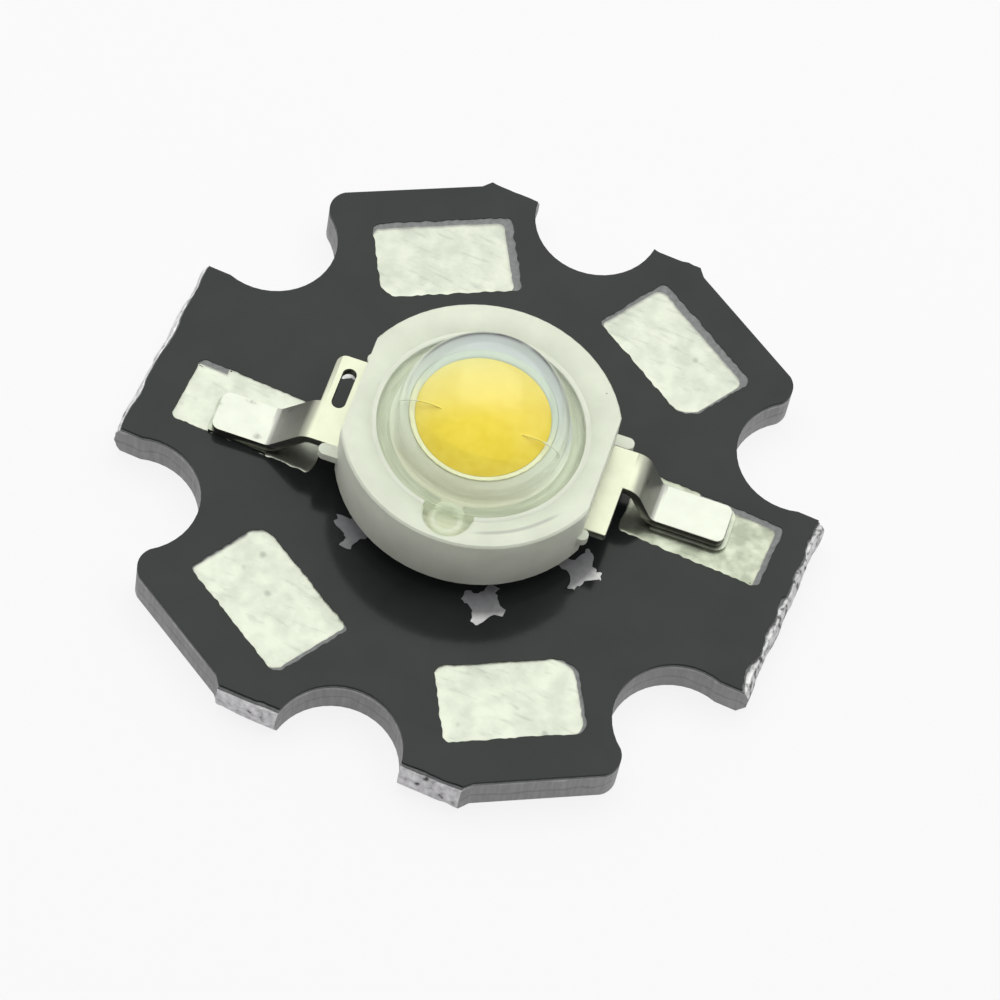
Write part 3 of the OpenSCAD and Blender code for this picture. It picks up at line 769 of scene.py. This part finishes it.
class StageSettings(bpy.types.PropertyGroup):
    """Floor, light and camera."""

    floor_colour: FloatVectorProperty(
        name="Floor", description="Colour of the floor", subtype="COLOR", default=linear("#f9f9f9")[:3]
    )
    floor_size: FloatProperty(name="Floor size", description="Side of the floor", default=1.2, unit="LENGTH")
    azimuth: FloatProperty(
        name="Azimuth", description="Direction of the camera", subtype="ANGLE",
        default=math.radians(12.2742),
    )
    elevation: FloatProperty(
        name="Elevation", description="Height of the camera", subtype="ANGLE",
        default=math.radians(59.3652),
    )
    roll: FloatProperty(
        name="Roll", description="Turn of the camera on its axis", subtype="ANGLE",
        default=math.radians(12.1853),
    )
    distance: FloatProperty(
        name="Distance", description="Distance of the camera from the board", default=141.1876 * MM,
        unit="LENGTH",
    )
    across: FloatProperty(
        name="Across", description="Place of the board across the view", default=-0.8275 * MM, unit="LENGTH"
    )
    along: FloatProperty(
        name="Along", description="Place of the board up the view", default=0.7509 * MM, unit="LENGTH"
    )
    lens: FloatProperty(name="Lens", description="Focal length in millimetres", default=174.857)
    key_power: FloatProperty(
        name="Key power", description="Power of the overhead lamp", default=0.212, unit="POWER"
    )
    key_colour: FloatVectorProperty(
        name="Key colour", description="Tint of the overhead lamp", subtype="COLOR",
        default=linear("#f7fff0")[:3],
    )
    key_width: FloatProperty(
        name="Key width", description="Width of the overhead lamp", default=0.25, unit="LENGTH"
    )
    key_depth: FloatProperty(
        name="Key depth", description="Depth of the overhead lamp", default=0.18, unit="LENGTH"
    )
    key_place: FloatVectorProperty(
        name="Key place", description="Place of the overhead lamp before its turn",
        default=(0.018, 0.056, 0.15), subtype="TRANSLATION", unit="LENGTH",
    )
    key_turn: FloatProperty(
        name="Key turn", description="Turn of the overhead lamp", subtype="ANGLE",
        default=math.radians(20),
    )
    ambient: FloatProperty(name="Ambient", description="Level of the light all around", default=0.27)
    ambient_colour: FloatVectorProperty(
        name="Ambient colour", description="Tint of the light all around", subtype="COLOR",
        default=linear("#f3ecf7")[:3],
    )


class STARLED_OT_stage(bpy.types.Operator):
    """Make the floor, the light and the camera"""

    bl_idname = "starled.stage"
    bl_label = "Stage"

    def execute(self, context):
        stage = context.scene.starled_stage
        context.scene.view_settings.view_transform = "Standard"
        bm = bmesh.new()
        bmesh.ops.create_grid(bm, x_segments=4, y_segments=4, size=stage.floor_size / 2)
        mesh = bpy.data.meshes.new("floor")
        bm.to_mesh(mesh)
        bm.free()
        floor = bpy.data.objects.new("floor", mesh)
        mesh.materials.append(self.floor_paint(stage))
        context.scene.collection.objects.link(floor)
        self.surroundings(context.scene, stage)
        self.lamp(context.scene, stage)
        self.camera(context.scene, stage)
        return {"FINISHED"}

    def floor_paint(self, stage):
        """Matt white board: shows its own colour to the camera and keeps a share of the shadow."""
        material, tree, _ = new_material("white floor board")
        colour = (*stage.floor_colour, 1)
        path = add(tree, "LightPath").outputs
        seen = add(
            tree, "Math", {0: path["Is Camera Ray"], 1: path["Is Glossy Ray"]}, operation="MAXIMUM"
        )
        seen = add(tree, "Math", {0: seen, 1: path["Is Transmission Ray"]}, operation="MAXIMUM")
        share = add(tree, "Math", {0: seen, 1: 0.88}, operation="MULTIPLY")
        matt = add(tree, "BsdfDiffuse", {"Color": colour})
        level = add(tree, "MapRange", {"Value": path["Is Glossy Ray"], "To Min": 1.0, "To Max": 0.3})
        glow = add(tree, "Emission", {"Color": colour, "Strength": level})
        both = add(tree, "MixShader", {"Fac": share, 1: matt, 2: glow})
        add(tree, "OutputMaterial", {"Surface": both})
        return material

    def surroundings(self, scene, stage):
        """White studio: bright behind the object, a darker room behind the camera."""
        world = bpy.data.worlds.new("studio")
        world.use_nodes = True
        tree = world.node_tree
        tree.nodes.clear()
        way = add(tree, "TexCoord").outputs["Generated"]
        split = add(tree, "SeparateXYZ", {"Vector": way})
        back = add(tree, "MapRange", {"Value": split.outputs["Y"], "From Min": -1.0})
        room = add(tree, "ValToRGB", {"Fac": back}, stops=((0.22, 0.07), (0.32, 0.6), (0.45, 1.0)))
        path = add(tree, "LightPath").outputs
        seen = add(
            tree, "Math", {0: path["Is Glossy Ray"], 1: path["Is Transmission Ray"]}, operation="MAXIMUM"
        )
        side = add(tree, "VectorMath", {0: way, 1: (-0.35, 0.7, 0.0)}, operation="DOT_PRODUCT")
        lean = add(tree, "MapRange", {"Value": side, "From Min": -0.8, "From Max": 0.8})
        level = add(
            tree, "ValToRGB", {"Fac": lean},
            stops=((0.05, 0.0), (0.13, 1.1), (0.28, 2.6), (0.5, 2.1), (0.72, 4.0), (1.0, 1.8)),
        )
        tint = add(
            tree, "Mix", {"Factor": 1.0, "A": level, "B": (*stage.ambient_colour, 1)}, **MULTIPLY
        )
        around = add(tree, "Background", {"Color": tint, "Strength": stage.ambient})
        veil = add(
            tree, "MapRange", {"Value": path["Is Transmission Ray"], "To Min": 1.3, "To Max": 0.94}
        )
        mirrored = add(tree, "Background", {"Color": room, "Strength": veil})
        backdrop = add(tree, "Background", {"Color": (*stage.floor_colour, 1), "Strength": 1.0})
        first = add(tree, "MixShader", {"Fac": seen, 1: around, 2: mirrored})
        both = add(tree, "MixShader", {"Fac": path["Is Camera Ray"], 1: first, 2: backdrop})
        add(tree, "OutputWorld", {"Surface": both})
        scene.world = world

    def lamp(self, scene, stage):
        key = bpy.data.lights.new("overhead softbox", "AREA")
        key.shape = "RECTANGLE"
        key.size = stage.key_width
        key.size_y = stage.key_depth
        key.energy = stage.key_power
        key.color = stage.key_colour
        lamp = bpy.data.objects.new("overhead softbox", key)
        turn = Matrix.Rotation(stage.key_turn, 4, "Z")
        lamp.matrix_world = turn @ Matrix.Translation(Vector(stage.key_place))
        scene.collection.objects.link(lamp)

    def camera(self, scene, stage):
        """Camera fitted to the photograph's view."""
        a, e, r = stage.azimuth, stage.elevation, stage.roll
        back = Vector((math.sin(a) * math.cos(e), -math.cos(a) * math.cos(e), math.sin(e)))
        level = Vector((math.cos(a), math.sin(a), 0))
        upright = back.cross(level)
        right = math.cos(r) * level + math.sin(r) * upright
        top = math.cos(r) * upright - math.sin(r) * level
        place = stage.distance * back - stage.across * right - stage.along * top + UP * BOARD_Z * MM
        data = bpy.data.cameras.new("camera")
        data.lens = stage.lens
        data.sensor_width = 36
        data.sensor_fit = "HORIZONTAL"
        data.clip_start = 0.01
        camera = bpy.data.objects.new("camera", data)
        turn = Matrix((right, top, back)).transposed().to_4x4()
        camera.matrix_world = Matrix.Translation(place) @ turn
        scene.collection.objects.link(camera)
        scene.camera = camera


class STARLED_OT_board(bpy.types.Operator):
    """Make the aluminium core, the laminate and the lacquer with their punched and broken edges"""

    bl_idname = "starled.board"
    bl_label = "Star board"

    def execute(self, context):
        led = context.scene.starled
        torn = broken_aluminium()
        core = node_copy("aluminium_base", join=False)
        roughen_scores(core, led.chip_depth, 1)
        for face in core.faces:
            if face.normal.z > LEVEL:
                face.material_index = 1
        make_piece(core, "star_core", [punched_aluminium(), torn], "aluminium", "aluminium_base")
        laminate = self.sheet("dielectric_layer", FOIL_Z, LAMINATE_Z, led.chip_depth)
        make_piece(laminate, "laminate_sheet", [grey_laminate()], "laminate", "dielectric_layer")
        mask = self.sheet("solder_mask", BOARD_Z, FOIL_Z, led.chip_depth)
        make_piece(mask, "lacquer_coat", [black_mask()], "black_mask", "solder_mask")
        return {"FINISHED"}

    def sheet(self, node, top, bottom, depth):
        """A sheet on the board: the CAD outline, chipped at the scores and shaped at its openings."""
        bm = node_copy(node, join=False)
        low = (top - SLACK) * MM
        spare = [f for f in bm.faces if f.normal.z < LEVEL or f.calc_center_median().z < low]
        bmesh.ops.delete(bm, geom=spare, context="FACES")
        bmesh.ops.delete(bm, geom=bm.faces[:], context="FACES_KEEP_BOUNDARY")
        corners = set(bm.verts)
        cut_fine(bm, [e for e in bm.edges if e.calc_length() > MM], BREAK_STEP)
        for vert in set(bm.verts) - corners:
            side = score_side(vert.co)
            if side is not None:
                deep = ROUGHEST if side.x > 0 else 1
                vert.co -= side * (deep * depth * MM * chip(vert.co))
        self.shape_openings(bm)
        bmesh.ops.triangle_fill(bm, edges=bm.edges[:], use_beauty=True, normal=UP)
        thicken(bm, bottom - top)
        for face in bm.faces:
            face.smooth = abs(face.normal.z) < QUITE_FLAT
        return bm

    def shape_openings(self, bm):
        """Fit the openings over the pads to their plans, with the wander of a screened film."""
        boxes = [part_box(node) for node in PADS]
        cut_fine(bm, [e for e in bm.edges if self.at_opening(e, boxes)], OPENING_STEP)
        verts = {v for e in bm.edges if self.at_opening(e, boxes) for v in e.verts}
        if not verts:
            return
        for angle, _, opening, radii in PADS.values():
            turn = Matrix.Rotation(math.radians(angle), 4, "Z")
            self.fit_opening(verts, turn, opening, radii)
        for vert in verts:
            vert.co += waver(vert.co)

    def fit_opening(self, verts, turn, opening, radii):
        """Stretch one opening to its plan and round its corners."""
        back = turn.inverted()
        margin, half_lobe = 0.3, 2.6
        places = {v: back @ v.co / MM for v in verts}
        places = {
            v: p for v, p in places.items() if p.x > opening[0] - margin and abs(p.y) < half_lobe
        }
        low_u, high_u = (pick(p.x for p in places.values()) for pick in (min, max))
        low_v, high_v = (pick(p.y for p in places.values()) for pick in (min, max))
        in_u, out_u, right_v, left_v = opening
        for vert, place in places.items():
            u = in_u + (place.x - low_u) / (high_u - low_u) * (out_u - in_u)
            v = right_v + (place.y - low_v) / (high_v - low_v) * (left_v - right_v)
            u, v = round_corner(u, v, opening, radii)
            vert.co = turn @ Vector((u * MM, v * MM, vert.co.z))

    def at_opening(self, edge, boxes):
        """True for the edges of the openings over the pads."""
        middle = middle_of(edge)
        margin, outer_r = 0.35 * MM, 9.2 * MM
        for low, high in boxes:
            if all(low[i] - margin < middle[i] < high[i] + margin for i in (0, 1)):
                return middle.xy.length < outer_r and not near_notch(middle)
        return False


class STARLED_OT_pads(bpy.types.Operator):
    """Make the tinned pads with their wavering edges"""

    bl_idname = "starled.pads"
    bl_label = "Tinned pads"

    def execute(self, context):
        smooth = tin_plating("levelled tin", "#969890", "#a2a49b")
        spangled = tin_plating("spangled tin", "#7f8276", "#9ea194")
        bare = grey_laminate()
        for node, (angle, tin, opening, radii) in PADS.items():
            bm = self.plan(angle, tin, radii) if tin else self.lead_plan(node)
            material = spangled if node == "tin_anode_pad" else smooth
            make_piece(self.pad(bm, node), node + "_coat", [material], "tin", node)
            bed = self.plan(angle, opening, radii)
            make_piece(self.border(bed), node.replace("tin", "bare_border"), [bare], "laminate")
        return {"FINISHED"}

    def border(self, bm):
        """Bare laminate that shows between a pad's tin and its opening, just below the tin."""
        bm.normal_update()
        waver_outline(bm.faces[:][0], BARE_SPREAD)
        for vert in bm.verts:
            vert.co.z = BARE_Z * MM
        thicken(bm, FOIL_Z - BARE_Z)
        return bm

    def plan(self, angle, sides, radii):
        """Outline of a pad or an opening: a rectangle with round corners."""
        in_u, out_u, right_v, left_v = sides
        bm = bmesh.new()
        verts = []
        for along, across in CORNERS:
            u = out_u if along > 0 else in_u
            v = left_v if across > 0 else right_v
            verts.append(bm.verts.new((u * MM, v * MM, TIN_Z * MM)))
        bm.faces.new(verts)
        for vert, r in zip(verts, radii):
            bmesh.ops.bevel(
                bm, geom=[vert], offset=r * MM, offset_type="OFFSET", affect="VERTICES", segments=8,
                profile=0.5, material=-1,
            )
        turn = Matrix.Rotation(math.radians(angle), 4, "Z")
        bmesh.ops.transform(bm, matrix=turn, verts=bm.verts[:])
        return bm

    def lead_plan(self, node):
        """Outline of a lead pad: the bare foil, without its shortest edges."""
        bm = node_copy(node)
        spare = [f for f in bm.faces if f.normal.z < LEVEL]
        bmesh.ops.delete(bm, geom=spare, context="FACES")
        bmesh.ops.dissolve_faces(bm, faces=bm.faces[:])
        bmesh.ops.remove_doubles(bm, verts=bm.verts[:], dist=SHORT_EDGE * MM)
        return bm

    def pad(self, bm, node):
        """A tin plate over the bare foil: a rolled rim and a levelled middle with faint swells."""
        cut_fine(bm, bm.edges[:], PAD_STEP)
        bm.normal_update()
        crown = bm.faces[:][0]
        if crown.normal.z < 0:
            bmesh.ops.reverse_faces(bm, faces=[crown])
            bm.normal_update()
        waver_outline(crown, TIN_SPREAD)
        for vert in bm.verts:
            vert.co.z = TIN_Z * MM
        skirt = new_verts(bmesh.ops.extrude_edge_only(bm, edges=bm.edges[:]))
        bmesh.ops.translate(bm, verts=skirt, vec=UP * (FOIL_Z - TIN_Z) * MM)
        bmesh.ops.holes_fill(bm, edges=[e for e in bm.edges if e.is_boundary])
        bm.normal_update()
        for inwards, upwards in RIM_STEPS:
            bmesh.ops.inset_region(bm, faces=[crown], thickness=inwards * MM, depth=upwards * MM)
        bmesh.ops.recalc_face_normals(bm, faces=bm.faces[:])
        rolled = set(crown.verts)
        low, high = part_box(node)
        mesh_size = SWELL_MESH * MM
        cells = [crown]
        for axis in (0, 1):
            for k in range(1, int((high[axis] - low[axis]) / mesh_size) + 1):
                place, way = low.copy(), Vector((0, 0, 0))
                place[axis] += k * mesh_size
                way[axis] = 1
                geom = {g for f in cells for g in (f, *f.edges, *f.verts)}
                cut = bmesh.ops.bisect_plane(
                    bm, geom=list(geom), dist=WELD, plane_co=place, plane_no=way
                )
                cells = [g for g in cut["geom"] if isinstance(g, bmesh.types.BMFace)]
        for vert in {v for f in cells for v in f.verts} - rolled:
            if not any(e.is_boundary for e in vert.link_edges):
                vert.co.z += SWELL_HEIGHT * MM * noise.noise(vert.co / (SWELL_WIDTH * MM))
        smooth_all(bm)
        return bm


class STARLED_OT_prints(bpy.types.Operator):
    """Print the polarity marks on the lacquer"""

    bl_idname = "starled.prints"
    bl_label = "Polarity marks"

    def execute(self, context):
        ink = white_ink()
        for index, (x, y) in enumerate(PLUS_PLACES):
            make_piece(self.plus(x, y), f"plus_mark_{index + 1}", [ink], "white_nylon")
            make_piece(self.minus(-x, -y), f"minus_mark_{index + 1}", [ink], "white_nylon")
        return {"FINISHED"}

    def plus(self, x, y):
        """A cross with blunt arms, thick in its corners."""
        bm = bmesh.new()
        bmesh.ops.create_grid(bm, x_segments=1, y_segments=1, size=PLUS_MIDDLE * MM)
        for edge in bm.edges[:]:
            out = middle_of(edge)
            arm = out.normalized() * PLUS_ARM * MM
            verts = new_verts(bmesh.ops.extrude_edge_only(bm, edges=[edge]))
            bmesh.ops.translate(bm, verts=verts, vec=arm)
            bmesh.ops.scale(bm, verts=verts, vec=(0.5, 0.5, 1), space=Matrix.Translation(-(out + arm)))
        return self.print_film(bm, x, y)

    def minus(self, x, y):
        bm = bmesh.new()
        bmesh.ops.create_grid(bm, x_segments=3, y_segments=1, size=MINUS_LONG * MM)
        bmesh.ops.scale(bm, verts=bm.verts[:], vec=(1, MINUS_SHARE, 1))
        return self.print_film(bm, x, y)

    def print_film(self, bm, x, y):
        """Soften a printed shape and lay it on the lacquer as a thin film."""
        bmesh.ops.recalc_face_normals(bm, faces=bm.faces[:])
        bmesh.ops.subdivide_edges(bm, edges=bm.edges[:], cuts=4, use_grid_fill=True)
        for _ in range(3):
            bmesh.ops.smooth_vert(bm, verts=bm.verts[:], factor=0.5, use_axis_x=True, use_axis_y=True)
        for vert in bm.verts:
            vert.co += Vector((x, y, 0)) * MM
            vert.co += INK_RAGGED * waver(vert.co)
            vert.co.z = (BOARD_Z + INK_GAP) * MM
        if bm.faces[:][0].normal.z < 0:
            bmesh.ops.reverse_faces(bm, faces=bm.faces[:])
        thicken(bm, INK_FILM)
        return bm


class STARLED_OT_housing(bpy.types.Operator):
    """Make the moulded housing with softened edges"""

    bl_idname = "starled.housing"
    bl_label = "Housing"

    def execute(self, context):
        led = context.scene.starled
        bm = node_copy("housing")
        port = Matrix.Rotation(TURN, 3, "Z") @ Vector((0, -SEAT_R, 0))
        mouth_round = 0.1
        mouth = [e for e in sharp_edges(bm) if self.at_port(e, port)]
        soften(bm, mouth, mouth_round, 4, clamp=False)
        soften(bm, sharp_edges(bm), led.edge_round, 3)
        smooth_all(bm)
        # The recess under the flange takes the wet nylon: darker and olive partly from the gel's yellow tint
        # and partly from painted shade
        for face in bm.faces:
            middle = face.calc_center_median() / MM
            if middle.xy.length < SEAT_R + SLACK and middle.z < FLANGE_TOP:
                face.material_index = 1
        wet = gel_streaks("nylon wet with gel and painted shade", "#b8bda6", "#d6dac6", "#f2f2f0", 0.0)
        make_piece(bm, "moulded_housing", [white_nylon(), wet], "white_nylon", "housing")
        return {"FINISHED"}

    def at_port(self, edge, port):
        """True for an edge on the wall of the filling port or at its rim."""
        middle = middle_of(edge) / MM - port
        reach, above_seat = 0.8, 0.1
        return middle.xy.length < reach and middle.z > SEAT_Z + above_seat


class STARLED_OT_leads(bpy.types.Operator):
    """Make the two leads and their solder joints"""

    bl_idname = "starled.leads"
    bl_label = "Leads"

    def execute(self, context):
        led = context.scene.starled
        sheet = plated_sheet()
        for node in ("anode_lead", "cathode_lead"):
            bm = node_copy(node)
            soften(bm, sharp_edges(bm), led.lead_round)
            bm.normal_update()
            for face in bm.faces:
                face.smooth = abs(face.normal.z) < DEAD_FLAT
            make_piece(bm, node + "_sheet", [sheet], "plated_lead", node)
        # The solder's dull olive colour is a painted dark reflection of the black lacquer
        dress(plain_metal("bright solder", "#7b7e74", "#9a9d92", 0.3, 0.4), "anode_solder", "cathode_solder")
        return {"FINISHED"}


class STARLED_OT_emitter(bpy.types.Operator):
    """Make the dome, the phosphor, the reflector cup and the castings around them"""

    bl_idname = "starled.emitter"
    bl_label = "Emitter"

    def execute(self, context):
        led = context.scene.starled
        steps = led.dome_steps
        cap_r = (CUP_R**2 + CROWN**2) / (2 * CROWN)
        half = math.degrees(math.asin(CUP_R / cap_r))
        cap = arc(0, CUP_TOP + CROWN - cap_r, cap_r, 90 - half, 90, 16)
        lens = clear_silicone("clear moulded silicone", led.dome_ior)
        make_piece(spun(self.dome(cap), steps), "clear_dome", [lens], "clear_lens", "lens", "gel_fill")
        phosphor = spun([(0, CUP_FLOOR), (CUP_FLOOR_R, CUP_FLOOR)] + cap, steps)
        make_piece(phosphor, "phosphor_fill", [yellow_phosphor()], "phosphor_silicone", "phosphor")
        slug = node_copy("heat_slug")
        soften(slug, sharp_edges(slug), SLUG_ROUND)
        make_piece(slug, "plated_slug", [cup_silver()], "plated_slug", "heat_slug")
        # The milky fill's warm front colour is painted shade and its bluish back colour a painted reflection
        milky = gel_streaks("milky silicone", "#e0e5d5", "#ecf1e5", "#eae3da", 0.0, "#dfdff2")
        make_piece(node_copy("cavity_fill"), "cast_fill", [milky], "white_silicone", "cavity_fill")
        cured = gel_streaks("cured gel", "#bcc3a4", "#cdd3b8", "#ffffff", 0.5)
        squeezed = gel_streaks("squeezed gel", "#d0d5c4", "#dde1d3", "#ffffff", 0.3)
        lip = gel_streaks("gel lip", "#cbd1b8", "#d8ddc8", "#ffffff", 0.4)
        make_piece(self.plug(), "filling_plug", [cured, lip], "white_silicone")
        make_piece(self.bead(), "seat_bead", [squeezed], "white_silicone")
        return {"FINISHED"}

    def dome(self, cap):
        """Section of the clear dome, with its flange, down to the castings that it sinks into."""
        sink, fillet, bevel = 0.01, 0.2, 0.05
        return (
            arc(0, DOME_Z, DOME_R, 90, 0, 48)
            + arc(DOME_R + fillet, FLANGE_TOP + fillet, fillet, 180, 270, 8)
            + [(FLANGE_R - bevel, FLANGE_TOP), (FLANGE_R, FLANGE_TOP - bevel), (FLANGE_R, SEAT_Z - sink)]
            + [(DOME_IN_R, SEAT_Z - sink)]
            + [(PEDESTAL_R - sink, FILL_TOP - sink), (PEDESTAL_R - sink, CUP_TOP - sink)]
            + [(r, z - sink) for r, z in cap]
        )

    def plug(self):
        """Gel in the filling port, with a lip that stands up around it."""
        rim = [(PORT_R + r, SEAT_Z + z) for r, z in PLUG_RIM]
        bm = spun([(0, SEAT_Z + PLUG_BOTTOM)] + rim + [(0, SEAT_Z + PLUG_TOP)], 48)
        for face in bm.faces:
            middle = face.calc_center_median() / MM
            face.material_index = int(middle.xy.length > PORT_R - LIP)
        place = Matrix.Rotation(TURN, 4, "Z") @ Matrix.Translation(Vector((0, -SEAT_R * MM, 0)))
        bmesh.ops.transform(bm, matrix=place, verts=bm.verts[:])
        return bm

    def bead(self):
        """Gel squeezed up between the flange and its seat, as far as the port."""
        bm = bmesh.new()
        start = Matrix.Rotation(TURN - math.pi / 2 + BEAD_GAP, 4, "Z")
        verts = [bm.verts.new(start @ Vector((r * MM, 0, z * MM))) for r, z in BEAD]
        edges = [bm.edges.new(pair) for pair in zip(verts, verts[1:] + verts[:1])]
        bmesh.ops.spin(
            bm, geom=verts + edges, cent=(0, 0, 0), axis=UP, angle=2 * (math.pi - BEAD_GAP), steps=120
        )
        bmesh.ops.holes_fill(bm, edges=[e for e in bm.edges if e.is_boundary])
        bmesh.ops.recalc_face_normals(bm, faces=bm.faces[:])
        smooth_all(bm)
        return bm


class STARLED_OT_hidden(bpy.types.Operator):
    """Finish the pieces that lie inside"""

    bl_idname = "starled.hidden"
    bl_label = "Inner pieces"

    def execute(self, context):
        foil = plain_metal("etched copper foil", "#a8663c", "#c98453", 0.4, 0.3)
        dress(foil, "anode_copper", "cathode_copper", "thermal_land")
        dress(plain_metal("slug solder", "#a9aca4", "#cfd2ca", 0.35, 0.4), "slug_solder")
        dress(plain_metal("silver-filled film", "#8d8d86", "#acaca4", 0.5, 0.1), "die_attach")
        skin = coated_wire()
        for node in ("anode_wire", "cathode_wire"):
            bm = node_copy(node)
            bmesh.ops.recalc_face_normals(bm, faces=bm.faces[:])
            make_piece(bm, node + "_skin", [skin], "gold_wire", node)
        dress(chip_sapphire(), "led_die")
        return {"FINISHED"}


class STARLED_PT_panel(bpy.types.Panel):
    """Lists the steps that build the LED"""

    bl_idname = "STARLED_PT_panel"
    bl_label = "Star LED"
    bl_space_type = "VIEW_3D"
    bl_region_type = "UI"
    bl_category = "Star LED"

    def draw(self, context):
        for step in STEPS:
            self.layout.operator(step.bl_idname)
        for group in (context.scene.starled, context.scene.starled_stage):
            box = self.layout.box()
            for name in group.__annotations__:
                box.prop(group, name)


STEPS = (
    STARLED_OT_stage, STARLED_OT_board, STARLED_OT_pads, STARLED_OT_prints, STARLED_OT_housing,
    STARLED_OT_leads, STARLED_OT_emitter, STARLED_OT_hidden,
)
CLASSES = (LedSettings, StageSettings, *STEPS, STARLED_PT_panel)


def register():
    for cls in CLASSES:
        bpy.utils.register_class(cls)
    bpy.types.Scene.starled = PointerProperty(type=LedSettings)
    bpy.types.Scene.starled_stage = PointerProperty(type=StageSettings)


def unregister():
    del bpy.types.Scene.starled_stage
    del bpy.types.Scene.starled
    for cls in reversed(CLASSES):
        bpy.utils.unregister_class(cls)


def main():
    register()
    bpy.ops.starled.stage()
    bpy.ops.starled.board()
    bpy.ops.starled.pads()
    bpy.ops.starled.prints()
    bpy.ops.starled.housing()
    bpy.ops.starled.leads()
    bpy.ops.starled.emitter()
    bpy.ops.starled.hidden()


if __name__ == "__main__":
    main()
